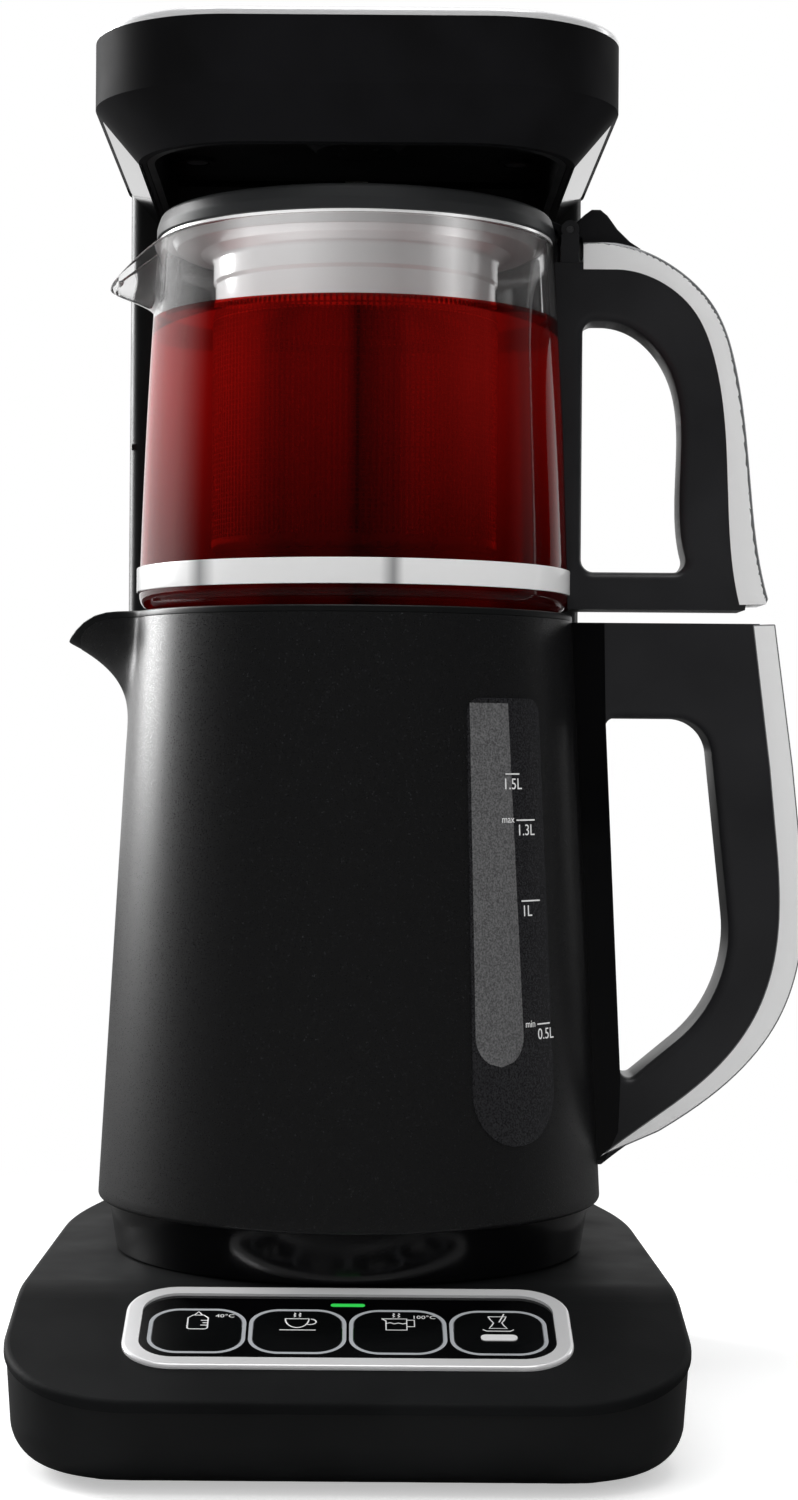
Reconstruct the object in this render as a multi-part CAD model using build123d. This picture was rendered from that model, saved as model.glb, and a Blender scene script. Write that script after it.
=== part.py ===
from build123d import *
import math
import os

# Automatic tea maker: a stand (base, column, head) that carries a kettle with a glass teapot on top.
# Millimetres, +Z up, the user stands at -Y, both handles point to +X and both spouts to -X.
# Every form is drawn about the kettle's upright axis and moved once, at export, so that the
# origin lies on the table in the middle of the machine's footprint.

# ---- driving dimensions -------------------------------------------------------------------
HEIGHT = 425.8            # table to the top of the head
WALL = 2.5                # moulded housings
FOOT = 2.0                # height of the rubber feet below the base

BASE_FRONT = -142.0       # front edge of the base
BASE_FRONT_HALF = 99.0    # half width at the front corners
BASE_KNEE = (94.5, 52.0)  # where the sides turn in towards the column
BACK = 118.0              # back face of base, column and head
COLUMN_HALF = 79.5        # half width of the column
COLUMN_FACE = 84.0        # front face of the column, clear of the kettle

DECK_Z = 45.8             # flat part of the deck, under the kettle
DECK_T = 3.0              # thickness of the deck cover, down to the seam
SLOPE_Y = -75.0           # where the deck starts to fall towards the user
SLOPE_DEG = 15.9          # how steeply it falls
SHELL_TAPER = 4.0         # degrees, side walls of the lower shell
SHELL_ROUND = 13.0        # radius where the lower shell turns under

PANEL_Y = -100.5          # middle of the control panel, on the slope
PANEL_W = 128.5           # chrome bezel, across
PANEL_H = 48.4            # chrome bezel, up the slope
BEZEL_W = 4.8             # visible width of the bezel
KEY_W = 28.0              # key with its light ring
KEY_H = 27.0
KEY_PITCH = 28.8
KEY_LOCAL_Y = -2.3        # the row of keys sits a little low on the glass
KEY_RING = 1.1            # width of the light ring round a key
KEY_GAP = 0.25            # clearance between key and ring

KETTLE_R0 = 80.5          # kettle wall at KETTLE_Z0
KETTLE_Z0 = 63.0
KETTLE_SLOPE = 0.0545     # the wall leans in by this much per millimetre of height
KETTLE_WALL = 1.5
KETTLE_BOTTOM = 62.0
KETTLE_SEAM = 246.2       # seam below the rim ring
RIM_TOP = 248.4
RIM_BORE = 66.2           # inner radius of the rim ring
COLLAR_R = 77.0           # gloss skirt below the kettle, top and bottom radius
COLLAR_FOOT_R = 74.5
FLOOR_Z = 66.0            # underside of the kettle's steel floor

POT_FOOT = 248.6          # the glass teapot stands here
POT_RIM = 366.8           # top edge of the glass
GLASS = 2.2
BEAK_GLASS = 1.5          # the glass is drawn thinner at the beak
BAND_Z = (254.7, 262.5)   # steel band round the teapot's foot
BASKET_R = 45.0
BASKET_FOOT = 267.0
LID_Z = 367.8             # underside of the lid
LID_R = 64.0

HEAD_HALF = 81.3          # half width of the head
HEAD_FRONT = -74.0
HEAD_CORNER = 43.0        # plan radius of its front corners
HEAD_CREASE = 402.7       # where the slanted band starts
HEAD_LIP = 387.0          # lowest edge of the head
HEAD_LIP_HALF = 68.0
HEAD_LIP_FRONT = -66.0
CEILING = 405.0           # ceiling of the recess above the teapot
TRIM_H = 2.8              # chrome strip round the top of the head
HOSE_R = 4.0
HOSE_BORE = 2.5
HOSE_Y = 101.0            # the riser hose climbs here, inside the column
HOSE_Z = 414.0            # and crosses the head at this height

# the axis frame's place in the exported frame: footprint of the machine centred on the origin
HANDLE_REACH = 144.2      # the kettle's handle is the outermost thing at +X
BASE_REACH = 98.1         # the base is the outermost thing at -X
ORIGIN_X = (HANDLE_REACH - BASE_REACH) / 2
ORIGIN_Y = (BASE_FRONT + BACK) / 2
TO_EXPORT = Location((-ORIGIN_X, -ORIGIN_Y, 0))

parts = {}


# ---- small helpers ------------------------------------------------------------------------
def ring(r_out, r_in, z0, z1, x=0.0, y=0.0):
    """An upright tube between two heights."""
    tube = Cylinder(r_out, z1 - z0) - Cylinder(r_in, z1 - z0)
    return Location((x, y, (z0 + z1) / 2)) * tube


def disc(r, z0, z1, x=0.0, y=0.0):
    """An upright cylinder between two heights."""
    return Location((x, y, (z0 + z1) / 2)) * Cylinder(r, z1 - z0)


def block(x0, x1, y0, y1, z0, z1):
    """A box between two corners."""
    return Location(((x0 + x1) / 2, (y0 + y1) / 2, (z0 + z1) / 2)) * Box(x1 - x0, y1 - y0, z1 - z0)


def turned(*points):
    """A solid turned about the kettle's axis from (radius, height) points."""
    return revolve(Plane.XZ * make_face(Polyline(*points, close=True)), Axis.Z)


def rounded_polygon(points, radii):
    """A closed outline with one corner radius per point."""
    return make_face(FilletPolyline(*points, radius=radii, close=True))


def side_view(face, half):
    """A profile drawn in (X, height) and thickened both ways along Y."""
    return extrude(Plane.XZ * face, amount=half, both=True)


def group(solids):
    """Several separate solids that share one node."""
    whole = solids[0]
    for solid in solids[1:]:
        whole += solid
    return whole


def kettle_r(z):
    """Outer radius of the kettle's wall at a height."""
    return KETTLE_R0 - KETTLE_SLOPE * (z - KETTLE_Z0)


def glass_r(z):
    """Outer radius of the glass teapot, a slightly bowed cone."""
    t = (z - 254.0) / (POT_RIM - 254.0)
    return 68.8 - 5.3 * t + 2.6 * t * (1 - t)


# ---- base -----------------------------------------------------------------------------------
def base_outline(inset=0.0):
    """Plan of the base: wide rounded front, sides that turn in to the column's width."""
    kx, ky = BASE_KNEE
    half = [(BASE_FRONT_HALF, BASE_FRONT), (kx, ky), (COLUMN_HALF, BACK)]
    mirrored = [(-x, y) for x, y in reversed(half)]
    face = rounded_polygon(half + mirrored, [38, 200, 18, 18, 200, 38])
    return offset(face, amount=-inset) if inset else face


def under_deck(drop=0.0):
    """Everything below the deck's top surface, lowered by drop."""
    top = DECK_Z - drop
    low = top - (SLOPE_Y + 170) * math.tan(math.radians(SLOPE_DEG))
    points = [(150, -20), (150, top), (SLOPE_Y, top), (-170, low), (-170, -20)]
    return extrude(Plane.YZ * rounded_polygon(points, [0, 0, 60, 0, 0]), amount=130, both=True)


def panel_plane(height=0.0):
    """The control panel's own plane: x to the right, y up the slope."""
    a = math.radians(SLOPE_DEG)
    z = DECK_Z - (SLOPE_Y - PANEL_Y) * math.tan(a)
    return Plane(origin=(0, PANEL_Y - height * math.sin(a), z + height * math.cos(a)),
                 x_dir=(1, 0, 0), z_dir=(0, -math.sin(a), math.cos(a)))


def panel_block(w, h, r, z0, z1, x=0.0, y=0.0):
    """A rounded plate parallel to the panel, between two heights above the deck."""
    shape = Location((x, y, 0)) * RectangleRounded(w, h, r)
    return extrude(panel_plane(z0) * shape, amount=z1 - z0)


POSTS = [(sx * x, y) for x, y in ((74, -96), (72, 58)) for sx in (-1, 1)]
COLUMN_FOOT = [(-62, 93), (62, 93)]


def base_deck():
    body = extrude(base_outline(), amount=60) & under_deck()
    rim = [e for e in body.edges()
           if e.center().Z > 20 and abs(e.tangent_at(0.5).Z) < 0.9
           and not (abs(e.center().X) < 1 and BASE_FRONT + 1 < e.center().Y < BACK - 1)]
    body = fillet(rim, 1.8)
    body -= under_deck(DECK_T)
    lip = extrude(base_outline(WALL + 1.8), amount=60) - extrude(base_outline(WALL + 3.2), amount=60)
    lip = (lip & under_deck(DECK_T)) - under_deck(DECK_T + 3.5)
    body += lip
    for x, y in POSTS:
        post = disc(4.0, FOOT + WALL, 60, x, y) & under_deck(DECK_T - 0.5)
        body += post - disc(1.5, 0, 15, x, y)
    body -= panel_block(PANEL_W - 4.0, PANEL_H - 4.0, 13, -12, 6)
    body -= disc(18.2, 30, 60)
    body -= disc(5.3, 30, 60, 0, 44)
    body -= block(-12, 12, 93, 109, 30, 60)
    for x, y in COLUMN_FOOT:
        body -= disc(1.8, 30, 60, x, y)
    return body


def lower_shell_form(inset):
    """The bowl below the deck: tapered walls that turn under with a large radius."""
    seam = DECK_Z - DECK_T
    top = Plane.XY.offset(seam) * base_outline(inset)
    bowl = extrude(top, amount=-(seam - FOOT - inset), taper=SHELL_TAPER)
    floor = bowl.faces().sort_by(Axis.Z)[0]
    return fillet(floor.edges(), SHELL_ROUND - inset)


CORD_X = 45.0
CORD_Z = 27.0


def base_lower_shell():
    shell = (lower_shell_form(0.0) & under_deck(DECK_T)) - lower_shell_form(WALL)
    for x, y in POSTS:
        shell -= disc(1.8, 0, 10, x, y)
        shell -= disc(3.7, 0, FOOT + 1.2, x, y)
    for i in range(9):
        shell -= block(-28 + 7 * i - 1.5, -28 + 7 * i + 1.5, -40, -10, 0, 10)
    shell -= Location((CORD_X, BACK, CORD_Z)) * Rotation(90, 0, 0) * Cylinder(6.2, 20)
    return shell


def rubber_feet():
    spots = [(sx * x, y) for x, y in ((66, -112), (56, 84)) for sx in (-1, 1)]
    return group([chamfer(disc(9, 0, FOOT, x, y).edges().group_by(Axis.Z)[0], 0.5) for x, y in spots])


def base_screws():
    screws = []
    for x, y in POSTS:
        head = disc(3.4, FOOT + 0.1, FOOT + 1.2, x, y) - block(x - 2.4, x + 2.4, y - 0.4, y + 0.4, 0, 2.6)
        screws.append(head + disc(1.4, FOOT + 1.0, 14, x, y))
    for x, y in COLUMN_FOOT:
        under = DECK_Z - DECK_T
        head = disc(3.2, under - 2, under, x, y) - block(x - 2.4, x + 2.4, y - 0.4, y + 0.4, 0, under - 1.2)
        screws.append(head + disc(1.4, under, DECK_Z + 12, x, y))
    return group(screws)


def panel_bezel():
    flange = panel_block(PANEL_W, PANEL_H, 15, 0, 1.3)
    top = flange.faces().sort_by(Axis((0, 0, 0), panel_plane().z_dir))[-1]
    flange = fillet(top.outer_wire().edges(), 1.0)
    spigot = panel_block(PANEL_W - 4.4, PANEL_H - 4.4, 12.8, -5.6, 0)
    hole = panel_block(PANEL_W - 2 * BEZEL_W, PANEL_H - 2 * BEZEL_W, 10.4, -8, 4)
    return (flange + spigot) - hole


def key_x(i):
    return (i - 1.5) * KEY_PITCH


def panel_glass():
    glass = panel_block(PANEL_W - 2 * BEZEL_W - 0.2, PANEL_H - 2 * BEZEL_W - 0.2, 10.3, -1.6, 0.5)
    for i in range(4):
        glass -= panel_block(KEY_W, KEY_H, 9, -3, 3, key_x(i), KEY_LOCAL_Y)
    return glass - panel_block(10, 2, 0.9, -3, 3, 0, 14.0)


def status_light():
    return panel_block(10, 2, 0.9, -1.6, 0.5, 0, 14.0) + panel_block(7, 1.6, 0.7, -5.4, -1.6, 0, 14.0)


def key_light_rings():
    """Four light guides, one round each key, flush with the glass."""
    guides = []
    for i in range(4):
        w, h = KEY_W - 2 * KEY_RING, KEY_H - 2 * KEY_RING
        inner = panel_block(w, h, 9 - KEY_RING, -3, 3, key_x(i), KEY_LOCAL_Y)
        guides.append(panel_block(KEY_W, KEY_H, 9, -1.6, 0.5, key_x(i), KEY_LOCAL_Y) - inner)
    return group(guides)


def key_button(i):
    trim = 2 * (KEY_RING + KEY_GAP)
    cap = panel_block(KEY_W - trim, KEY_H - trim, 9 - KEY_RING - KEY_GAP, -1.3, 0.6, key_x(i), KEY_LOCAL_Y)
    stem = panel_block(5, 5, 2.4, -3.4, -1.3, key_x(i), KEY_LOCAL_Y)
    return cap + stem


def control_board():
    board = panel_block(PANEL_W - 5, PANEL_H - 5, 12, -7.2, -5.6)
    for i in range(4):
        board += panel_block(6, 6, 0.5, -5.6, -4.8, key_x(i), KEY_LOCAL_Y)
        board += panel_block(3.4, 3.4, 1.6, -4.8, -4.2, key_x(i), KEY_LOCAL_Y)
    return board


# ---- what the base holds --------------------------------------------------------------------
def connector_body():
    """Round cordless connector: flange under the deck, pillar with an annular contact groove."""
    body = disc(18, 36, 55.8) + disc(23, 38, DECK_Z - DECK_T)
    body = chamfer(body.edges().group_by(Axis.Z)[-1], 1.0)
    body -= ring(14.5, 11.8, 47, 60)
    return body - disc(3.4, 47, 60)


def connector_contacts():
    return group([ring(12.8, 11.9, 47, 54), ring(3.3, 2.4, 47, 54)])


NIPPLE_Y = 44.0
PUMP_Y = 74.0
PUMP_Z = 22.0


def water_nipple():
    """Where the kettle's valve plugs in; its top edge lifts the valve."""
    tube = disc(5, 30, 54, 0, NIPPLE_Y) + disc(9, 40, DECK_Z - DECK_T, 0, NIPPLE_Y)
    tube = chamfer(tube.edges().group_by(Axis.Z)[-1], 0.6)
    tube -= disc(2.5, 26, 60, 0, NIPPLE_Y)
    return tube - ring(6, 4.2, 48.6, 50.6, 0, NIPPLE_Y)


def nipple_seal():
    return Location((0, NIPPLE_Y, 49.6)) * Torus(4.9, 0.7)


def suction_hose():
    """Short silicone elbow from the nipple down to the pump."""
    path = FilletPolyline((0, NIPPLE_Y, 30), (0, NIPPLE_Y, PUMP_Z), (0, PUMP_Y - 10, PUMP_Z), radius=6)
    outer = sweep(Plane(origin=(0, NIPPLE_Y, 30), z_dir=(0, 0, -1)) * Circle(HOSE_R), path=path)
    bore = sweep(Plane(origin=(0, NIPPLE_Y, 30), z_dir=(0, 0, -1)) * Circle(HOSE_BORE), path=path)
    return outer - bore


def pump_head():
    body = Location((0, PUMP_Y + 4, PUMP_Z)) * Rotation(0, 90, 0) * Cylinder(14, 16)
    body += block(-3, 3, PUMP_Y + 4, HOSE_Y, PUMP_Z - 4, PUMP_Z + 4)
    body += disc(5, PUMP_Z - 4, 36, 0, HOSE_Y)
    body += block(-8, 8, PUMP_Y - 6, PUMP_Y + 14, FOOT + WALL, 12)
    return body


def pump_motor():
    axis = Location((-8 - 17, PUMP_Y + 4, PUMP_Z)) * Rotation(0, 90, 0)
    can = fillet((axis * Cylinder(12, 34)).edges().sort_by(Axis.X)[0], 1.5)
    return can + axis * Location((0, 0, -19)) * Cylinder(4, 6)


def riser_hose():
    """Silicone hose from the pump, up the column and forward to the shower nozzle."""
    start = (0, HOSE_Y, 36)
    path = FilletPolyline(start, (0, HOSE_Y, HOSE_Z), (0, 15, HOSE_Z), radius=14)
    outer = sweep(Plane(origin=start) * Circle(HOSE_R), path=path)
    bore = sweep(Plane(origin=start) * Circle(HOSE_BORE), path=path)
    return outer - bore


def power_board():
    board = block(24, 76, -34, 36, 12, 13.6)
    board += block(29, 49, -24, 2, 13.6, 32)
    board += block(54, 71, -22, -6, 13.6, 28)
    board += disc(6, 13.6, 33, 62, 10)
    board += block(30, 48, 13, 29, 13.6, 24)
    for x in (28, 72):
        for y in (-30, 32):
            board += disc(3, FOOT + WALL, 12, x, y)
    return board


def speaker():
    cone = ring(16, 13, 4.5, 9.5, 0, -25) + disc(13.5, 7.5, 9.5, 0, -25)
    return cone + disc(8, 9.5, 14, 0, -25)


def cord_inlet():
    """Rubber bush in the back wall, where the mains lead would enter."""
    place = Location((CORD_X, 0, CORD_Z)) * Rotation(90, 0, 0)
    tube = place * Location((0, 0, -(BACK - 5))) * Cylinder(6.1, 10)
    collar = place * Location((0, 0, -(BACK - 8))) * Cylinder(8.5, 4)
    return tube + collar - place * Location((0, 0, -BACK)) * Cylinder(3.6, 40)


# ---- column ---------------------------------------------------------------------------------
COLUMN_SPLIT = 101.0
COLUMN_BOSSES = [(x, z) for x in (-62, 62) for z in (150, 350)]


def along_y(r, y0, y1, x, z):
    """A cylinder along Y between two depths."""
    return Location((x, (y0 + y1) / 2, z)) * Rotation(90, 0, 0) * Cylinder(r, y1 - y0)


def column_outline(inset=0.0):
    points = [(COLUMN_HALF, COLUMN_FACE), (COLUMN_HALF, BACK), (-COLUMN_HALF, BACK),
              (-COLUMN_HALF, COLUMN_FACE)]
    face = rounded_polygon(points, [6, 18, 18, 6])
    return offset(face, amount=-inset) if inset else face


def column_tube(z0, z1):
    outer = extrude(Plane.XY.offset(z0) * column_outline(), amount=z1 - z0)
    return outer - extrude(Plane.XY.offset(z0) * column_outline(WALL), amount=z1 - z0)


def column_front():
    inner = COLUMN_FACE + 1
    half = column_tube(DECK_Z, HEAD_CREASE) & block(-90, 90, 60, COLUMN_SPLIT, 0, 500)
    for z in (110, 210, 310):
        rib = block(-COLUMN_HALF + 1, COLUMN_HALF - 1, inner, COLUMN_SPLIT, z, z + 2)
        half += rib - disc(HOSE_R + 0.2, z - 2, z + 4, 0, HOSE_Y) - block(-4, 4, HOSE_Y, 120, z - 2, z + 4)
    for x, y in COLUMN_FOOT:
        half += disc(4, DECK_Z, DECK_Z + 18, x, y) + block(x - 1, x + 1, inner, y, DECK_Z, DECK_Z + 18)
        half -= disc(1.6, DECK_Z - 1, DECK_Z + 14, x, y)
    for x, z in COLUMN_BOSSES:
        half += along_y(4, inner, COLUMN_SPLIT, x, z)
        half -= along_y(1.6, inner + 3, COLUMN_SPLIT + 1, x, z)
    return half


def column_rear():
    half = column_tube(DECK_Z, HEAD_CREASE) & block(-90, 90, COLUMN_SPLIT, 130, 0, 500)
    for x, z in COLUMN_BOSSES:
        half += along_y(4.5, COLUMN_SPLIT, BACK - 1, x, z)
        half -= along_y(1.8, COLUMN_SPLIT - 1, BACK + 1, x, z)
        half -= along_y(3.5, BACK - 7, BACK + 1, x, z)
    return half


def column_screws():
    screws = []
    for x, z in COLUMN_BOSSES:
        head = along_y(3.2, BACK - 7, BACK - 5, x, z)
        head -= block(x - 2.2, x + 2.2, BACK - 5.8, BACK, z - 0.4, z + 0.4)
        screws.append(head + along_y(1.4, COLUMN_SPLIT - 10, BACK - 7, x, z))
    return group(screws)


# ---- head -----------------------------------------------------------------------------------
def head_plan(half, front, corner, back, back_round):
    points = [(half, front), (half, back), (-half, back), (-half, front)]
    return rounded_polygon(points, [corner, back_round, back_round, corner])


def head_band(inset, z0, z1):
    """The upright band of the head between two heights."""
    plan = head_plan(HEAD_HALF - inset, HEAD_FRONT + inset, HEAD_CORNER - inset, BACK - inset, 18 - inset)
    return extrude(Plane.XY.offset(z0) * plan, amount=z1 - z0)


def head_slant(inset):
    """The slanted band under the crease, in front of the column."""
    upper = head_plan(HEAD_HALF - inset, HEAD_FRONT + inset, HEAD_CORNER - inset, COLUMN_FACE, 0)
    lower = head_plan(HEAD_LIP_HALF - inset, HEAD_LIP_FRONT + inset, HEAD_CORNER - 6 - inset, COLUMN_FACE, 0)
    return loft([Plane.XY.offset(HEAD_CREASE) * upper, Plane.XY.offset(HEAD_LIP) * lower])


STRIP_T = 1.2
STRIP_FRONT = -30.0


def strip_zone(sign):
    x0, x1 = sorted((sign * 60, sign * 90))
    return block(x0, x1, STRIP_FRONT, COLUMN_FACE, HEAD_LIP, HEAD_CREASE - 2.4)


def head_side_strip(sign):
    """Gloss insert let into the slanted flank, from the front corner back to the column."""
    return (head_slant(0.0) - head_slant(STRIP_T)) & strip_zone(sign)


def head_shell():
    band = head_band(0.0, HEAD_CREASE, HEIGHT - TRIM_H) - head_band(WALL, HEAD_CREASE - 1, HEIGHT)
    slant = head_slant(0.0) - head_slant(WALL)
    for sign in (-1, 1):
        slant -= (head_slant(0.0) - head_slant(STRIP_T)) & strip_zone(sign)
    return band + slant


def head_trim():
    outer = head_band(0.0, HEIGHT - TRIM_H, HEIGHT)
    outer = fillet(outer.edges().group_by(Axis.Z)[-1], 2.0)
    return outer - head_band(3.4, HEIGHT - TRIM_H - 1, HEIGHT + 1)


def head_top_cover():
    cover = head_band(3.5, HEIGHT - TRIM_H, HEIGHT - 0.5)
    cover = fillet(cover.edges().group_by(Axis.Z)[-1], 0.8)
    return cover + (head_band(WALL + 0.2, HEIGHT - TRIM_H - 4, HEIGHT - TRIM_H)
                    - head_band(WALL + 1.8, HEIGHT - TRIM_H - 5, HEIGHT))


HEAD_SCREWS = [(-54, 48), (54, 48), (-40, -36), (40, -36)]


def head_underside():
    """Tray that closes the head from below; its recess takes the lid and the nozzle."""
    plan_out = head_plan(HEAD_LIP_HALF - WALL - 0.2, HEAD_LIP_FRONT + WALL + 0.2, 34, COLUMN_FACE, 0)
    plan_in = head_plan(HEAD_LIP_HALF - 2 * WALL, HEAD_LIP_FRONT + 2 * WALL, 32, COLUMN_FACE + 5, 0)
    tray = extrude(Plane.XY.offset(HEAD_LIP) * plan_out, amount=CEILING + 2 - HEAD_LIP)
    tray -= extrude(Plane.XY.offset(HEAD_LIP - 1) * plan_in, amount=CEILING + 1 - HEAD_LIP)
    tray -= disc(7.2, CEILING - 1, CEILING + 5)
    for x, y in HEAD_SCREWS:
        tray += ring(6, 4.2, CEILING - 1.5, CEILING, x, y)
        tray -= disc(1.8, CEILING - 2, CEILING + 5, x, y)
    return tray


def head_screws():
    screws = []
    for x, y in HEAD_SCREWS:
        head = disc(3.6, CEILING - 1.3, CEILING, x, y)
        head -= block(x - 2.4, x + 2.4, y - 0.4, y + 0.4, CEILING - 2, CEILING - 0.6)
        screws.append(head + disc(1.5, CEILING, CEILING + 9, x, y))
    return group(screws)


def shower_nozzle():
    """Rose above the lid's inlet, with a side barb for the riser hose."""
    rose = turned((0, 397.5), (13, 397.5), (16, 400), (16, CEILING), (0, CEILING))
    rose += disc(7, CEILING - 1, HOSE_Z + 6)
    rose += along_y(5, 0, 15, 0, HOSE_Z)
    rose -= disc(3, 399, HOSE_Z + 3.4)
    rose -= disc(10, 399, 401.5)
    for i in range(8):
        a = math.radians(45 * i + 10)
        rose -= disc(0.9, 396, 400, 7.5 * math.cos(a), 7.5 * math.sin(a))
    return rose - along_y(HOSE_BORE, 0, 16, 0, HOSE_Z)


# ---- kettle ---------------------------------------------------------------------------------
def kettle_cone(skin, z0, z1):
    """Solid cone that follows the kettle's wall, grown outwards by skin."""
    return turned((0, z0), (kettle_r(z0) + skin, z0), (kettle_r(z1) + skin, z1), (0, z1))


def beak(sections, inset=0.0):
    """A flared pouring beak, lofted through deep troughs: (x, half width, bottom, top)."""
    faces = []
    for x, half, bottom, top in sections:
        w = max(half - 1.2 * inset, 0.7)
        low = bottom + 1.5 * inset
        shoulder = low + 1.5 * w
        trough = Bezier((w, shoulder), (w, low - w / 2), (-w, low - w / 2), (-w, shoulder))
        sides = Polyline((-w, shoulder), (-w, top), (w, top), (w, shoulder))
        plane = Plane(origin=(x, 0, 0), x_dir=(0, 1, 0), z_dir=(1, 0, 0))
        faces.append(plane * make_face(trough + sides))
    return loft(faces)


def above_edge(points, drop=0.0):
    """Everything above a beak's pouring edge, a curve of (X, height) points from root to tip."""
    lowered = [(x, z - drop) for x, z in points]
    (x0, _), (x1, z1) = lowered[0], lowered[-1]
    beyond = Polyline((x1, z1), (x1 - 12, z1 - 20), (x1 - 12, 420), (x0, 420), lowered[0])
    return side_view(make_face(Spline(*lowered) + beyond), 30)


# from inside the wall to the tip; the underside sweeps out of the wall in a hollow curve
KETTLE_BEAK = [(-62, 24, 198, 256), (-73, 15.5, 216, 256), (-77, 12.2, 227, 255), (-83, 8.4, 233.4, 254),
               (-92, 2.6, 238, 253)]
KETTLE_LIP = [(-60, RIM_TOP), (-70, RIM_TOP), (-78, RIM_TOP - 0.2), (-84, RIM_TOP - 1.9),
              (-89, RIM_TOP - 5.6), (-92.2, RIM_TOP - 10.6)]


GAUGE_MID = 40.2          # degrees from the front towards the handle
GAUGE_Z = (86.0, 221.0)


def gauge_prism(grow, reach0, reach1):
    """The gauge window's outline pushed through the wall, between two distances from the axis."""
    a = math.radians(GAUGE_MID)
    out = (math.sin(a), -math.cos(a), 0)
    origin = (out[0] * reach0, out[1] * reach0, 0)
    plane = Plane(origin=origin, x_dir=(math.cos(a), math.sin(a), 0), z_dir=out)
    z0, z1 = GAUGE_Z
    low, high = 17.0 + grow, 14.8 + grow
    points = [(-low, z0 - grow), (low, z0 - grow), (high, z1 + grow), (-high, z1 + grow)]
    face = rounded_polygon(points, [low * 0.94, low * 0.94, 5 + grow, 5 + grow])
    shape = extrude(plane * face, amount=reach1 - reach0)
    return shape


def kettle_body():
    """Painted steel wall with the pressed beak and the gauge opening."""
    outer = kettle_cone(0, KETTLE_BOTTOM, KETTLE_SEAM)
    outer = fillet(outer.edges().group_by(Axis.Z)[0], 1.4)
    inner = kettle_cone(-KETTLE_WALL, KETTLE_BOTTOM - 1, KETTLE_SEAM + 1)
    outer_beak = beak(KETTLE_BEAK) & block(-120, 0, -60, 60, 0, KETTLE_SEAM)
    shell = (outer + outer_beak) - inner - beak(KETTLE_BEAK, inset=KETTLE_WALL)
    shell -= above_edge(KETTLE_LIP, RIM_TOP - KETTLE_SEAM)
    shell += ring(79.6, 74.0, KETTLE_BOTTOM, KETTLE_BOTTOM + 1.2)
    return shell - gauge_prism(0, 50, 95)


def kettle_rim():
    """Ring on the kettle's top edge that the teapot stands on; it dips along the beak's edge."""
    top = kettle_r(RIM_TOP)
    body = turned((RIM_BORE, KETTLE_SEAM), (top, KETTLE_SEAM), (top, RIM_TOP - 0.6), (top - 0.6, RIM_TOP),
                  (RIM_BORE, RIM_TOP))
    body += ring(68.5, RIM_BORE, KETTLE_SEAM - 6, KETTLE_SEAM)
    edging = beak(KETTLE_BEAK) & above_edge(KETTLE_LIP, RIM_TOP - KETTLE_SEAM)
    edging -= disc(top - 2, 200, 300)
    body = (body + edging) - beak(KETTLE_BEAK, inset=KETTLE_WALL) - above_edge(KETTLE_LIP)
    return body


def gauge_window():
    """Smoked window, 0.4 proud of the wall, with a flange behind it."""
    pane = gauge_prism(0, 50, 95) & (kettle_cone(0.4, 80, 230) - kettle_cone(-KETTLE_WALL, 79, 231))
    flange = kettle_cone(-KETTLE_WALL, 80, 227) - kettle_cone(-KETTLE_WALL - 1.2, 79, 228)
    return pane + (gauge_prism(3.5, 50, 95) & flange)


def kettle_collar():
    """Gloss skirt that the kettle stands on."""
    lean = (COLLAR_R - COLLAR_FOOT_R) / 16
    body = turned((COLLAR_FOOT_R - WALL, 46), (COLLAR_FOOT_R, 46), (COLLAR_R, 62), (70.5, 62), (70.5, 60),
                  (COLLAR_R - WALL - 2 * lean, 60))
    return fillet(body.edges().group_by(Axis.Z)[0].sort_by(lambda e: e.length)[-1], 0.8)


def kettle_bottom_cover():
    cover = disc(71.8, 47.5, 49.5)
    cover += ring(30, 28, 49.5, 52)
    cover -= disc(24.2, 47, 53)
    cover -= disc(9.2, 47, 50, 0, NIPPLE_Y)
    for i in range(3):
        a = math.radians(120 * i + 30)
        x, y = 60 * math.cos(a), 60 * math.sin(a)
        cover += disc(3.5, 49.5, FLOOR_Z, x, y)
    return cover


def kettle_floor():
    """Steel floor of the water chamber, dished at its edge and pierced over the valve."""
    edge = kettle_r(FLOOR_Z) - KETTLE_WALL - 0.2
    plate = turned((0, FLOOR_Z), (edge - 3, FLOOR_Z), (edge, FLOOR_Z + 3), (edge - 0.2, FLOOR_Z + 5),
                   (edge - 1.2, FLOOR_Z + 5), (edge - 1.2, FLOOR_Z + 3.5), (edge - 3.6, FLOOR_Z + 1.2),
                   (0, FLOOR_Z + 1.2))
    return plate - disc(2.6, 60, 70, 0, NIPPLE_Y)


def heating_element():
    """Flat ring element brazed under the floor, open round the valve, with two terminals."""
    section = Plane.XZ * (Location((48, FLOOR_Z - 3)) * RectangleRounded(8, 6, 1.4))
    ring_part = revolve(section, Axis.Z, 290).rotate(Axis.Z, 90 + 35)
    for a in (90 + 38, 90 - 38):
        x, y = 48 * math.cos(math.radians(a)), 48 * math.sin(math.radians(a))
        ring_part += disc(1.8, FLOOR_Z - 12, FLOOR_Z - 4, x, y)
    return ring_part


def temperature_sensor():
    return disc(4, 58, FLOOR_Z, -24, 24) + disc(2, 54, 58, -24, 24)


def kettle_socket():
    """Female half of the cordless connector."""
    cup = disc(24, 47.5, 62) + disc(27, 49.5, 51.5)
    cup = cup - disc(18.7, 40, 58)
    return cup


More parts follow.
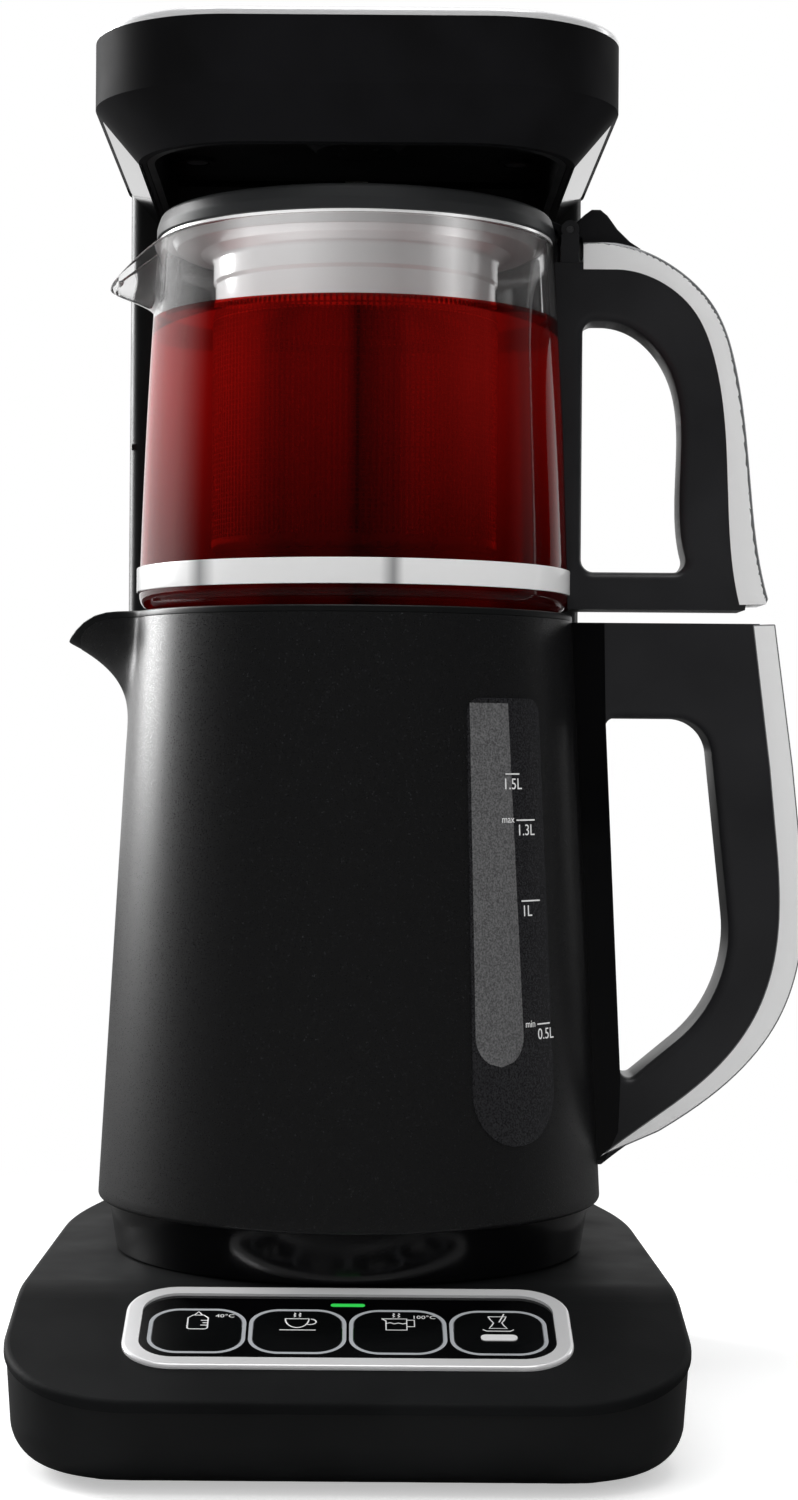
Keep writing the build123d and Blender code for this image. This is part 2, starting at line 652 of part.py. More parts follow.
def socket_contacts():
    """Pin and blade ring that reach down into the stand's connector."""
    pin = disc(1.6, 49.5, 58)
    blade = ring(13.9, 13.3, 49.5, 58)
    return group([pin, blade])


VALVE_LIFT = 1.5


def valve_housing():
    """Valve body under the kettle's floor; the stand's nipple plugs into it."""
    body = disc(9, 47.5, FLOOR_Z, 0, NIPPLE_Y)
    body -= disc(5.9, 40, 57.5, 0, NIPPLE_Y)
    body -= disc(4.2, 50, 62, 0, NIPPLE_Y)
    return body - disc(7.6, 60, 70, 0, NIPPLE_Y)


def valve_poppet():
    """Poppet held open by the nipple while the kettle is docked."""
    lift = 60 + VALVE_LIFT
    body = disc(6.2, lift, lift + 1.2, 0, NIPPLE_Y) + disc(1.3, 54.8, lift, 0, NIPPLE_Y)
    return body + disc(3.6, 54.2, 55.2, 0, NIPPLE_Y)


def valve_spring():
    """Conical return spring between the poppet and the floor."""
    z0 = 60 + VALVE_LIFT + 1.2 + 0.35
    coil = Helix(pitch=1.25, height=2.5, radius=4.6, center=(0, NIPPLE_Y, z0 + 0.05))
    wire = Plane(origin=coil @ 0, z_dir=coil % 0) * Circle(0.32)
    return sweep(wire, path=coil, is_frenet=True)


HANDLE_HALF = 12.0
GRIP_ROUND = 3.0          # rounding of a handle where the fingers go through
STRIP_ROUND = 1.4         # rounded outer edges of the teapot's chrome strip


def kettle_handle_back(shift):
    """The handle's long outer curve, from its top down to the kettle's foot."""
    curve = [(129.4, 246), (133.2, 215.5), (137.4, 176), (137.4, 142), (130.8, 120.5), (117, 102),
             (98, 86.8), (80.2, 73.6)]
    return [(x + shift * k, z) for (x, z), k in zip(curve, (0.85, 0.9, 0.95, 1, 1, 0.95, 0.8, 0.0))]


def kettle_handle_opening():
    """Room for the fingers, rounded like the grip round it."""
    corners = [(80.6, 215.7), (113.5, 215.7), (121.3, 143), (114, 121), (86.3, 98)]
    return rounded_polygon(corners, [3, 12, 45, 44, 3])


def kettle_handle():
    """Grip: top arm, back and lower arm, moulded in one with the finger opening."""
    back = Spline(*kettle_handle_back(0.0))
    inner = Polyline((80.2, 73.6), (76, 73.6), (70, 246), (129.4, 246))
    body = side_view(make_face(back + inner), HANDLE_HALF)
    body -= side_view(kettle_handle_opening(), HANDLE_HALF + 1)
    body = fillet(finger_edges(body, HANDLE_HALF, (78, 122), (95, 217)), GRIP_ROUND)
    return body - kettle_cone(0, 60, 250) - kettle_handle_spine()


def finger_edges(body, half, x_span, z_span):
    """Edges on both flat sides of a handle whose middle lies in the given window."""
    return [e for e in body.edges()
            if abs(abs(e.center().Y) - half) < 0.01 and x_span[0] < e.center().X < x_span[1]
            and z_span[0] < e.center().Z < z_span[1]]


def kettle_handle_spine():
    """Bracket against the kettle's wall that closes the grip to a loop."""
    outline = Polyline((60, 75), (60, 246), (80, 246), (80.6, 215.7), (86.2, 100), (85.6, 84), (81.4, 75),
                       close=True)
    return side_view(make_face(outline), HANDLE_HALF) - kettle_cone(0, 60, 250)


def kettle_handle_strip():
    """Chrome strip down the handle's back, with its cap at the top, running out to nothing at the foot."""
    outer = Spline(*kettle_handle_back(5.9))
    inner = Spline(*kettle_handle_back(0.0))
    top = Line(outer @ 0, inner @ 0)
    return side_view(make_face(outer + inner + top), HANDLE_HALF - 1.5)


# ---- teapot ---------------------------------------------------------------------------------
POT_BEAK = [(-55, 21, 338, 377), (-65.5, 15.5, 345.4, 376), (-71.5, 10.6, 348.3, 375), (-76.5, 6.4, 349.7, 374),
            (-80, 2.8, 351.4, 373)]
POT_LIP = [(-58, POT_RIM), (-63, POT_RIM - 0.2), (-67.6, POT_RIM - 1.4), (-73.2, POT_RIM - 4.6),
           (-77.6, POT_RIM - 9.2), (-80.2, POT_RIM - 14.4)]


def glass_cone(skin, z0, z1):
    """Solid that follows the teapot's wall, grown outwards by skin."""
    zm = (z0 + z1) / 2
    side = ThreePointArc((glass_r(z0) + skin, z0), (glass_r(zm) + skin, zm), (glass_r(z1) + skin, z1))
    rest = Polyline((glass_r(z1) + skin, z1), (0, z1), (0, z0), (glass_r(z0) + skin, z0))
    return revolve(Plane.XZ * make_face(side + rest), Axis.Z)


def teapot_glass():
    """Blown glass pot: flat foot, bowed wall and a drawn beak."""
    outer = glass_cone(0, POT_FOOT, POT_RIM)
    outer = fillet(outer.edges().group_by(Axis.Z)[0], 5.0)
    inner = glass_cone(-GLASS, POT_FOOT + 3, POT_RIM)
    inner = fillet(inner.edges().group_by(Axis.Z)[0], 4.0)
    spout = beak(POT_BEAK) & block(-120, 0, -60, 60, 0, POT_RIM)
    pot = (outer + spout) - inner - disc(glass_r(POT_RIM) - GLASS, POT_RIM - 0.5, POT_RIM + 1)
    return pot - beak(POT_BEAK, inset=BEAK_GLASS) - above_edge(POT_LIP)


def teapot_band():
    z0, z1 = BAND_Z
    r = glass_r(z0) + 0.15
    return ring(r + 0.8, r, z0, z1)


POT_HANDLE_HALF = 10.0
HINGE = (68.3, 371.6)     # X and height of the lid's hinge pin


def teapot_handle():
    """Loop handle on the band and the rim, with the lugs of the lid's hinge on top."""
    curve = Spline((82, 361), (97, 357.6), (110, 346.8), (116.8, 331), (121.4, 290), (125.3, 252.6))
    rest = Polyline((125.3, 252.6), (125.0, 250.4), (60, 250.4), (60, 361), (82, 361))
    body = side_view(make_face(curve + rest), POT_HANDLE_HALF)
    hole = Spline((79, 342.6), (90.5, 339.2), (100.2, 328), (104.4, 299), (107.8, 262.4))
    left = Polyline((107.8, 262.4), (72.7, 262.4), (72.7, 342.6), (79, 342.6))
    opening = make_face(hole + left)
    corners = [v for v in opening.vertices() if v.X < 73 or v.Y < 263]
    body -= side_view(fillet(corners, 4.0), POT_HANDLE_HALF + 1)
    body = fillet(finger_edges(body, POT_HANDLE_HALF, (72, 110), (262, 343)), GRIP_ROUND)
    for sign in (-1, 1):
        y0, y1 = sorted((sign * 6.4, sign * 9.8))
        body += block(65.4, 71.2, y0, y1, 360, 370) + Location((HINGE[0], (y0 + y1) / 2, HINGE[1])) \
            * Rotation(90, 0, 0) * Cylinder(2.9, y1 - y0)
    body -= Location((HINGE[0], 0, HINGE[1])) * Rotation(90, 0, 0) * Cylinder(1.2, 30)
    band = ring(glass_r(BAND_Z[0]) + 1.0, 1, BAND_Z[0] - 0.1, BAND_Z[1] + 0.1)
    return body - glass_cone(0.1, POT_FOOT, POT_RIM + 4) - band


def teapot_handle_strip():
    """Chrome strip over the top and down the back of the handle, open under the lid's lever."""
    outer = Spline((84, 367.4), (101.5, 360.2), (115.5, 346), (121.6, 329), (126.8, 290), (132.5, 254.3))
    inner = Spline((82, 361), (97, 357.6), (110, 346.8), (116.8, 331), (121.4, 290), (125.3, 252.6))
    rest = Polyline((132.5, 254.3), (131.6, 252.4), (125.3, 252.6))
    top = Polyline((84, 367.4), (72.6, 367.4), (72.6, 361), (82, 361))
    body = side_view(make_face(outer + rest + inner + top), POT_HANDLE_HALF - 1.5)
    body = fillet(body.edges().sort_by(SortBy.LENGTH)[-2:], STRIP_ROUND)
    pocket = [(60, 380), (60, 362.2), (86, 362.2), (95, 364.4), (95, 380)]
    return body - side_view(make_face(Polyline(*pocket, close=True)), 6.6)


def hinge_pin():
    return Location((HINGE[0], 0, HINGE[1])) * Rotation(90, 0, 0) * Cylinder(1.15, 19.4)


def strainer_basket():
    """Steel basket that hangs on the glass rim: flange, shoulder and deep cup."""
    lip = glass_r(POT_RIM) - 0.2
    points = [(0, BASKET_FOOT), (BASKET_R, BASKET_FOOT), (BASKET_R, 353), (BASKET_R + 0.8, 354),
              (BASKET_R + 0.8, 361), (50, 363.4), (57.6, 364.4), (59, POT_RIM), (lip, POT_RIM),
              (lip, POT_RIM + 0.8), (58.4, POT_RIM + 0.8), (57, 365.2), (49.7, 364.2), (BASKET_R, 361.6),
              (BASKET_R, 354.3), (BASKET_R - 0.8, 353.3), (BASKET_R - 0.8, BASKET_FOOT + 0.8),
              (0, BASKET_FOOT + 0.8)]
    return turned(*points)


# ---- lid ------------------------------------------------------------------------------------
def lid():
    """Satin lid: tall rounded edge, low dome, centring ring and a central inlet."""
    body = turned((13, 371.5), (13, 374.6), (30, 376), (58, 376.3), (61, 375.9), (63.1, 374.2), (LID_R, 371),
                  (LID_R, LID_Z), (61.6, LID_Z), (61.2, 371), (59.6, 373.2), (56, 373.6), (56, 366), (54.4, 366),
                  (54.4, 373.6), (30, 373.4), (14.5, 372.6))
    return body


def lid_inlet():
    """Funnel ring in the lid's middle that catches the shower of hot water."""
    return turned((6, 369.4), (13, 371.4), (13, 375.2), (15, 375.6), (15, 376.4), (11.6, 376.4), (10.4, 373),
                  (6, 371))


def lid_lever():
    """Thumb lever behind the hinge; it sits on the lid's edge and its knuckle turns on the pin."""
    top = Spline((57, 377), (66, 377.6), (76.2, 379), (83.6, 375.6), (91.6, 370.6))
    rest = Polyline((91.6, 370.6), (91.2, 369.2), (84, 371.6), (76, 372.6), (71.5, 370.2), (68.3, 368.6),
                    (65, 370.5), (63, 371.5), (62.4, 373), (60, 374.8), (57, 374.8), (57, 377))
    body = side_view(make_face(top + rest), 6.0) - lid()
    body += Location((HINGE[0], 0, HINGE[1])) * Rotation(90, 0, 0) * Cylinder(2.9, 12)
    body -= Location((HINGE[0], 0, HINGE[1])) * Rotation(90, 0, 0) * Cylinder(1.22, 30)
    return body


# ---- all the pieces -------------------------------------------------------------------------
makers = [
    base_lower_shell, base_deck, rubber_feet, base_screws, panel_bezel, panel_glass, status_light,
    key_light_rings, control_board, connector_body, connector_contacts, water_nipple, nipple_seal,
    suction_hose, pump_head, pump_motor, riser_hose, power_board, speaker, cord_inlet, column_front,
    column_rear, column_screws, head_shell, head_trim, head_top_cover, head_underside, head_screws,
    shower_nozzle, kettle_body, kettle_rim, gauge_window, kettle_collar, kettle_bottom_cover,
    kettle_floor, heating_element, temperature_sensor, kettle_socket, socket_contacts,
    valve_housing, valve_poppet, valve_spring, kettle_handle, kettle_handle_spine,
    kettle_handle_strip, teapot_glass, teapot_band, teapot_handle, teapot_handle_strip, hinge_pin,
    strainer_basket, lid, lid_inlet, lid_lever,
]
for maker in makers:
    parts[maker.__name__] = maker()
for i in range(4):
    parts[f"key_{i + 1}"] = key_button(i)
parts["head_strip_left"] = head_side_strip(-1)
parts["head_strip_right"] = head_side_strip(1)

os.makedirs("parts", exist_ok=True)
for name, shape in parts.items():
    export_step(TO_EXPORT * shape, f"parts/{name}.step")
print(len(parts), "nodes written")
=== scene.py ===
# %% [markdown]
# # An automatic tea maker: stand, kettle, glass teapot
#
# The machine has been designed in CAD already, and every piece arrives here at its real size and
# place, in metres. This notebook gives the pieces their finishes, and models again the ones whose
# looks need more than CAD facets: glass, painted steel, perforated steel, soft-edged mouldings.
# The first cell loads the machine and has a helper that finds the box a piece fills. Nothing made
# here may stand outside it.

# %% Load the machine
import math

import bmesh
import bpy
from mathutils import Matrix, Vector


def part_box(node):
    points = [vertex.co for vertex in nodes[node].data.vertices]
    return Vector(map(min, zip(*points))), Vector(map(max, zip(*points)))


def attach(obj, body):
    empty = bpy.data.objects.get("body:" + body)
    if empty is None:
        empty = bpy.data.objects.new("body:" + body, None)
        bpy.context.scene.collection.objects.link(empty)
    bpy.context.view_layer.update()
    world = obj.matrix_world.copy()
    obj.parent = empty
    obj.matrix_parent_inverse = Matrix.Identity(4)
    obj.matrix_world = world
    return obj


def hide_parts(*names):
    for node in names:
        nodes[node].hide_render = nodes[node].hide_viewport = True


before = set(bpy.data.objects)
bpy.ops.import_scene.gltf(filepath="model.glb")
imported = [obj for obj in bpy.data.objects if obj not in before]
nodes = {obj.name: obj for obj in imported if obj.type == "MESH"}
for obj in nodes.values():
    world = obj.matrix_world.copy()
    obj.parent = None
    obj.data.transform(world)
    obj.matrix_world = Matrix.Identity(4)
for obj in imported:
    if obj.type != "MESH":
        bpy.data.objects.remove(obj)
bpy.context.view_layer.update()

MM = 0.001

# %% [markdown]
# ## Where the kettle's axis is
#
# Kettle, teapot, basket and lid are all turned about one upright axis. The skirt under the kettle
# is a full circle, so the middle of its box is that axis. Every round piece is modelled about the
# world's own Z and moved there at the end, so that its object can stay at the origin.

# %% The shared axis and how a piece is made
skirt_low, skirt_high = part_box("kettle_collar")
AXIS = (skirt_low + skirt_high) / 2
AXIS.z = 0.0
print("kettle axis at", [round(v / MM, 2) for v in AXIS])


def at(x, y, z):
    """A point given in millimetres from the kettle's axis and the table."""
    return AXIS + Vector((x, y, z)) * MM


def placed(name, data):
    """A new object in the scene, at the origin."""
    thing = bpy.data.objects.new(name, data)
    bpy.context.scene.collection.objects.link(thing)
    return thing


def finish_mesh(name, bm, material, body, replaced=(), smooth=30.0, place=True):
    """Turns a bmesh drawn in millimetres about the axis into a named piece on its body."""
    bmesh.ops.scale(bm, vec=(MM, MM, MM), verts=bm.verts)
    if place:
        bmesh.ops.translate(bm, vec=AXIS, verts=bm.verts)
    mesh = bpy.data.meshes.new(name)
    bm.to_mesh(mesh)
    bm.free()
    piece = placed(name, mesh)
    mesh.materials.append(material)
    mesh.shade_smooth()
    mesh.set_sharp_from_angle(angle=math.radians(smooth))
    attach(piece, body)
    if replaced:
        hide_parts(*replaced)
    return piece


# %% [markdown]
# ## The camera
#
# A product picture is taken from far away with a long lens, so that upright edges stay nearly
# parallel. The camera looks level at the kettle's axis from the front. A small shift, in place of
# a turn, keeps the uprights upright, and a roll of half a degree is what a tripod set by hand has.

# %% Camera
CAMERA_AWAY, CAMERA_UP = 916.5, 205.5      # from the kettle's axis and above the table
CAMERA_ROLL = math.radians(-0.44)
camera_data = bpy.data.cameras.new("camera")
camera = placed("camera", camera_data)
bpy.context.scene.camera = camera
camera_data.sensor_width = 36.0
camera_data.lens = 68.2
camera_data.shift_x = 0.0312
camera_data.shift_y = -0.0013
camera.location = at(0, -CAMERA_AWAY, CAMERA_UP)
camera.rotation_euler = (math.radians(90), CAMERA_ROLL, 0)
print("camera at", [round(v / MM) for v in camera.location])

# %% [markdown]
# ## Light and floor
#
# A black machine shows its form by what it mirrors. A tall soft box at the left, a little behind
# the machine, gives the long highlight on the painted steel, and a weaker one at the right the
# thin rim of light on the head. The room behind the machine is white and the room in front of it
# is dark, so that a mirroring face turned to the viewer stays deep black and glass gets dark
# edges. It is dim at the right too, which keeps the kettle's right edge black. What lights the
# matt surfaces is the same from all sides, also behind glass, which is why rays that have met a
# matt surface count as matt light whatever they passed later.

# %% Helpers for nodes, colours and lamps


def add(tree, kind, settings=None, **inputs):
    """Adds one node, sets its properties, and sets or links its inputs by name or number (i0, i1)."""
    node = tree.nodes.new(kind)
    for key, value in (settings or {}).items():
        setattr(node, key, value)
    for key, value in inputs.items():
        numbered = key[0] == "i" and key[1:].isdigit()
        socket = node.inputs[int(key[1:])] if numbered else node.inputs[key.replace("_", " ")]
        if isinstance(value, bpy.types.NodeSocket):
            tree.links.new(value, socket)
        else:
            socket.default_value = value
    return node


def calc(tree, operation, *values, clamp=False):
    """The result of a sum on two or three values."""
    inputs = {f"i{number}": value for number, value in enumerate(values)}
    return add(tree, "ShaderNodeMath", {"operation": operation, "use_clamp": clamp}, **inputs).outputs[0]


def mapped(tree, value, low, high, to_low=0.0, to_high=1.0, soft=False):
    """A value brought from one range to another; soft eases both ends."""
    kind = {"interpolation_type": "SMOOTHSTEP" if soft else "LINEAR"}
    return add(tree, "ShaderNodeMapRange", kind, Value=value, From_Min=low, From_Max=high, To_Min=to_low,
               To_Max=to_high).outputs[0]


def mixed(tree, factor, low, high):
    """A colour between two, each a hex code or a socket."""
    low, high = (hex_colour(end) if isinstance(end, str) else end for end in (low, high))
    return add(tree, "ShaderNodeMix", {"data_type": "RGBA"}, i0=factor, i6=low, i7=high).outputs[2]


def hex_colour(code):
    """The linear colour of an sRGB hex code."""
    channels = [int(code[i:i + 2], 16) / 255 for i in (1, 3, 5)]
    return tuple(c / 12.92 if c <= 0.04045 else ((c + 0.055) / 1.055) ** 2.4 for c in channels) + (1.0,)


WHITE = hex_colour("#ffffff")


def soft_box(name, place, aim, width, height, power):
    """A rectangular lamp at a place, turned towards a point."""
    data = bpy.data.lights.new(name, "AREA")
    data.shape = "RECTANGLE"
    data.size, data.size_y = width, height
    data.energy = power
    lamp = placed(name, data)
    lamp.location = place
    lamp.rotation_euler = (Vector(aim) - Vector(place)).to_track_quat("-Z", "Y").to_euler()
    return lamp


# %% Lamps
MIDDLE, FOOT = (0, 0, 0.25), (0, 0, 0.1)   # what the lamps are turned to
left_window = soft_box("left_window", (-1.25, 0.78, 0.72), MIDDLE, 0.6, 0.95, 24)
right_window = soft_box("right_window", (1.3, 0.8, 0.6), MIDDLE, 0.3, 1.0, 2)
soft_box("ceiling_sheet", (0.0, -0.3, 1.7), FOOT, 1.2, 1.0, 9)
print("lamps:", len(bpy.data.lights))

# %% White room behind, dark room in front
FILL = 0.55               # what matt surfaces get from the room
world = bpy.data.worlds.new("white_room")
bpy.context.scene.world = world
world.use_nodes = True
tree = world.node_tree
tree.nodes.clear()
path = add(tree, "ShaderNodeLightPath")
direction = add(tree, "ShaderNodeTexCoord")
split = add(tree, "ShaderNodeSeparateXYZ", Vector=direction.outputs["Generated"])
behind = mapped(tree, split.outputs["Y"], -0.05, 0.45, 0.015, 1.0, soft=True)
off_right = mapped(tree, split.outputs["X"], 0.35, 0.8, 1.0, 0.12, soft=True)
brightness = calc(tree, "MULTIPLY", behind, off_right)
mirrored = calc(tree, "MAXIMUM", path.outputs["Is Glossy Ray"], path.outputs["Is Transmission Ray"])
mirror_rays = calc(tree, "SUBTRACT", mirrored, path.outputs["Diffuse Depth"], clamp=True)
fill = add(tree, "ShaderNodeBackground", Color=WHITE, Strength=FILL)
room = add(tree, "ShaderNodeBackground", Color=WHITE, Strength=brightness)
paper = add(tree, "ShaderNodeBackground", Color=WHITE, Strength=1.0)
bounced = add(tree, "ShaderNodeMixShader", i0=mirror_rays, i1=fill.outputs[0], i2=room.outputs[0])
seen = add(tree, "ShaderNodeMixShader", i0=path.outputs["Is Camera Ray"], i1=bounced.outputs[0],
           i2=paper.outputs[0])
add(tree, "ShaderNodeOutputWorld", Surface=seen.outputs[0])
bpy.context.scene.view_settings.view_transform = "Standard"
print("world ready")

# %% [markdown]
# ## The floor
#
# The floor is matt white paint. Round the machine it keeps the soft contact shadow; further away
# the camera sees it turn to the white of the background, so that no horizon shows. In mirroring
# faces it is dimmer, so that the black housings don't turn grey from below.

# %% Floor
FLOOR_HALF = 6.0
SHADOW_ENDS, WHITE_BEGINS = 0.2, 0.5       # distances from the origin
bm = bmesh.new()
bmesh.ops.create_grid(bm, x_segments=1, y_segments=1, size=FLOOR_HALF)
floor_mesh = bpy.data.meshes.new("floor")
bm.to_mesh(floor_mesh)
bm.free()
floor = placed("floor", floor_mesh)

floor_paint = bpy.data.materials.new("matt_white_paint")
floor_paint.use_nodes = True
tree = floor_paint.node_tree
tree.nodes.clear()
path = add(tree, "ShaderNodeLightPath")
place = add(tree, "ShaderNodeTexCoord")
distance = add(tree, "ShaderNodeVectorMath", {"operation": "LENGTH"}, i0=place.outputs["Object"])
far = mapped(tree, distance.outputs["Value"], SHADOW_ENDS, WHITE_BEGINS, soft=True)
paint = mixed(tree, path.outputs["Is Glossy Ray"], "#f4f4f4", "#5a5a5a")
matt = add(tree, "ShaderNodeBsdfDiffuse", Color=paint)
glow = add(tree, "ShaderNodeEmission", Color=WHITE, Strength=0.45)
near_floor = add(tree, "ShaderNodeAddShader", i0=matt.outputs[0], i1=glow.outputs[0])
far_floor = add(tree, "ShaderNodeEmission", Color=WHITE, Strength=1.0)
looked_at = add(tree, "ShaderNodeMixShader", i0=far, i1=near_floor.outputs[0], i2=far_floor.outputs[0])
seen = add(tree, "ShaderNodeMixShader", i0=path.outputs["Is Camera Ray"], i1=matt.outputs[0],
           i2=looked_at.outputs[0])
add(tree, "ShaderNodeOutputMaterial", Surface=seen.outputs[0])
floor_mesh.materials.append(floor_paint)
print("floor ready")

# %% [markdown]
# ## Finishes of moulded plastic
#
# The housings are ABS, moulded in textured steel tools. The grain scatters the highlight, which
# gives satin plastic its broad soft sheen, and no two areas are rubbed quite alike, so the
# roughness drifts a little. One function makes them all: a fine grain as bump, a slow drift of
# roughness, and a colour that varies by a few percent.

# %% Moulded plastic


def surface(name, colour, rough, metallic=0.0, ior=1.5, specular=0.5):
    """A material with one Principled shader, its object coordinates and its output."""
    material = bpy.data.materials.new(name)
    material.use_nodes = True
    tree = material.node_tree
    tree.nodes.clear()
    place = add(tree, "ShaderNodeTexCoord")
    shader = add(tree, "ShaderNodeBsdfPrincipled", Base_Color=hex_colour(colour), Roughness=rough,
                 Metallic=metallic, IOR=ior, Specular_IOR_Level=specular)
    add(tree, "ShaderNodeOutputMaterial", Surface=shader.outputs[0])
    return material, tree, place.outputs["Object"], shader


def noise(tree, place, size_mm, detail):
    """Soft noise with patches of a size."""
    return add(tree, "ShaderNodeTexNoise", Vector=place, Scale=1 / (size_mm * MM), Detail=detail).outputs[0]


def drift(tree, place, shader, rough, spread, size_mm):
    """Roughness that wanders about its value over patches of a size."""
    wandering = mapped(tree, noise(tree, place, size_mm, 2.0), 0.3, 0.7, rough - spread, rough + spread)
    tree.links.new(wandering, shader.inputs["Roughness"])


def grain(tree, place, shader, size_mm, depth_mm):
    """Fine bump such as a spark-eroded or powder-coated surface has."""
    height = noise(tree, place, size_mm, 1.0)
    bump = add(tree, "ShaderNodeBump", Height=height, Distance=depth_mm * MM)
    tree.links.new(bump.outputs[0], shader.inputs["Normal"])


def ramp_over(tree, factor, stops):
    """The colour of a ramp; stops are (position, hex colour) from left to right."""
    ramp = add(tree, "ShaderNodeValToRGB", Fac=factor)
    marks = ramp.color_ramp.elements
    for mark, (position, code) in zip(marks, (stops[0], stops[-1])):
        mark.position = position
        mark.color = hex_colour(code)
    for position, code in stops[1:-1]:
        marks.new(position).color = hex_colour(code)
    return ramp.outputs[0]


def tint(tree, place, shader, low, high, size_mm):
    """Colour that wanders between two hex values over patches of a size."""
    colour = ramp_over(tree, noise(tree, place, size_mm, 3.0), [(0.35, low), (0.65, high)])
    tree.links.new(colour, shader.inputs["Base Color"])


def moulded(name, low, high, rough, grain_mm=0.6, depth_mm=0.01, spread=0.05, specular=0.4):
    """Plastic or rubber from a textured mould."""
    material, tree, place, shader = surface(name, low, rough, specular=specular)
    tint(tree, place, shader, low, high, 40)
    drift(tree, place, shader, rough, spread, 25)
    grain(tree, place, shader, grain_mm, depth_mm)
    return material


satin_abs = moulded("satin_black_abs", "#101112", "#161718", 0.4)
lever_abs = moulded("lever_satin_abs", "#1c1c1e", "#232325", 0.4, specular=0.2)
head_abs = moulded("head_matt_abs", "#121213", "#18181a", 0.55, specular=0.03)
deck_abs = moulded("grained_black_abs", "#0f1011", "#151617", 0.6, grain_mm=0.7, depth_mm=0.03, specular=0.08)
handle_abs = moulded("handle_black_abs", "#242426", "#2c2c2e", 0.34)
lid_abs = moulded("graphite_satin_abs", "#2a2b2c", "#323334", 0.4, specular=0.15)
skirt_abs = moulded("kettle_foot_abs", "#060607", "#09090a", 0.16, specular=0.4)
inner_abs = moulded("unpolished_inner_abs", "#16171a", "#1d1e21", 0.6, specular=0.3)
gloss_abs = moulded("piano_black_abs", "#060607", "#09090a", 0.06, grain_mm=8, depth_mm=0.004, spread=0.02)
key_abs = moulded("key_black_abs", "#070808", "#0a0b0c", 0.12, grain_mm=6, depth_mm=0.004, spread=0.03)
rubber = moulded("black_nitrile_rubber", "#141414", "#1c1c1c", 0.75, grain_mm=0.8, depth_mm=0.04)
silicone = moulded("milky_silicone", "#cfcec8", "#dcdbd6", 0.5, grain_mm=2.0, depth_mm=0.02)
solder_mask = moulded("green_solder_mask", "#0d4a28", "#125c33", 0.35, grain_mm=1.5, depth_mm=0.02)
print("plastics ready")

# %% [markdown]
# ## Metals
#
# Satin chrome on plastic is a thin bright layer over a fine texture, so it looks pale from every
# side and mirrors the room only softly. Stainless steel is brushed: long fine scratches in one
# direction. They are drawn as noise stretched along the scratches, coarser than real ones so
# that they show. Polished sheet bent round an axis mirrors the room in upright bands, and behind
# glass little light reaches it, so those bands are painted reflections, drawn by a ramp across the
# piece, and on the basket's collar a painted glow is added.

# %% Metals


def brushed(name, colour, rough, stretch, size_mm=0.5, depth_mm=0.006):
    """Brushed metal; stretch is how the pattern is scaled in X, Y and Z."""
    material, tree, place, shader = surface(name, colour, rough, metallic=1.0)
    lines = add(tree, "ShaderNodeMapping", Vector=place, Scale=stretch)
    drift(tree, lines.outputs[0], shader, rough, 0.08, size_mm * 2)
    grain(tree, lines.outputs[0], shader, size_mm, depth_mm)
    return material


def plated(name, colour, rough, metallic):
    """Chrome over moulded plastic."""
    material, tree, place, shader = surface(name, colour, rough, metallic=metallic)
    drift(tree, place, shader, rough, 0.03, 12)
    grain(tree, place, shader, 9.0, 0.02)
    return material


satin_chrome = plated("satin_chrome_plating", "#f8f8f9", 0.22, 0.35)
strip_chrome = plated("bright_chrome_plating", "#ffffff", 0.18, 0.1)
# A darker grey copy of the chrome goes on the strips' rolled edges: a painted dark reflection along each
# edge.
chrome_edge_painted_dark = plated("chrome_rolled_edge_painted_dark", "#8f9092", 0.2, 0.5)
BANDS_HALF = 75.0         # the ramp across a piece ends this far to either side of the axis


def about_axis(tree, place):
    """Outputs X, Y and Z of a place, measured from the shared axis."""
    centred = add(tree, "ShaderNodeMapping", Vector=place, Location=-AXIS)
    return add(tree, "ShaderNodeSeparateXYZ", Vector=centred.outputs[0]).outputs


def painted_reflection_steel(name, stops, rough, metallic, glow=0.0):
    """Polished sheet with painted reflections, upright bands of a room, and a painted glow if glow is set;
    stops are (millimetres from the axis, grey).
    """
    material, tree, place, shader = surface(name, "#ffffff", rough, metallic=metallic)
    position = mapped(tree, about_axis(tree, place)["X"], -BANDS_HALF * MM, BANDS_HALF * MM)
    bands = ramp_over(tree, position, [((x + BANDS_HALF) / (2 * BANDS_HALF), code) for x, code in stops])
    if glow:
        tree.links.new(bands, shader.inputs["Emission Color"])
        shader.inputs["Emission Strength"].default_value = glow
    else:
        tree.links.new(bands, shader.inputs["Base Color"])
    drift(tree, place, shader, rough, 0.03, 12)
    return material


# Painted reflections on the steel band: bright and dark bands of the room, given as greys across it.
band_painted_reflections = [(-69, "#8d8d8e"), (-66, "#ffffff"), (-51, "#f4f4f4"), (-47, "#9d9d9e"), (-42, "#fdfdfd"),
              (8, "#f6f6f6"), (12, "#9a9a9b"), (15, "#fbfbfb"), (66, "#ffffff")]
band_steel = painted_reflection_steel("polished_steel_band_painted_reflections", band_painted_reflections, 0.16, 0.08)
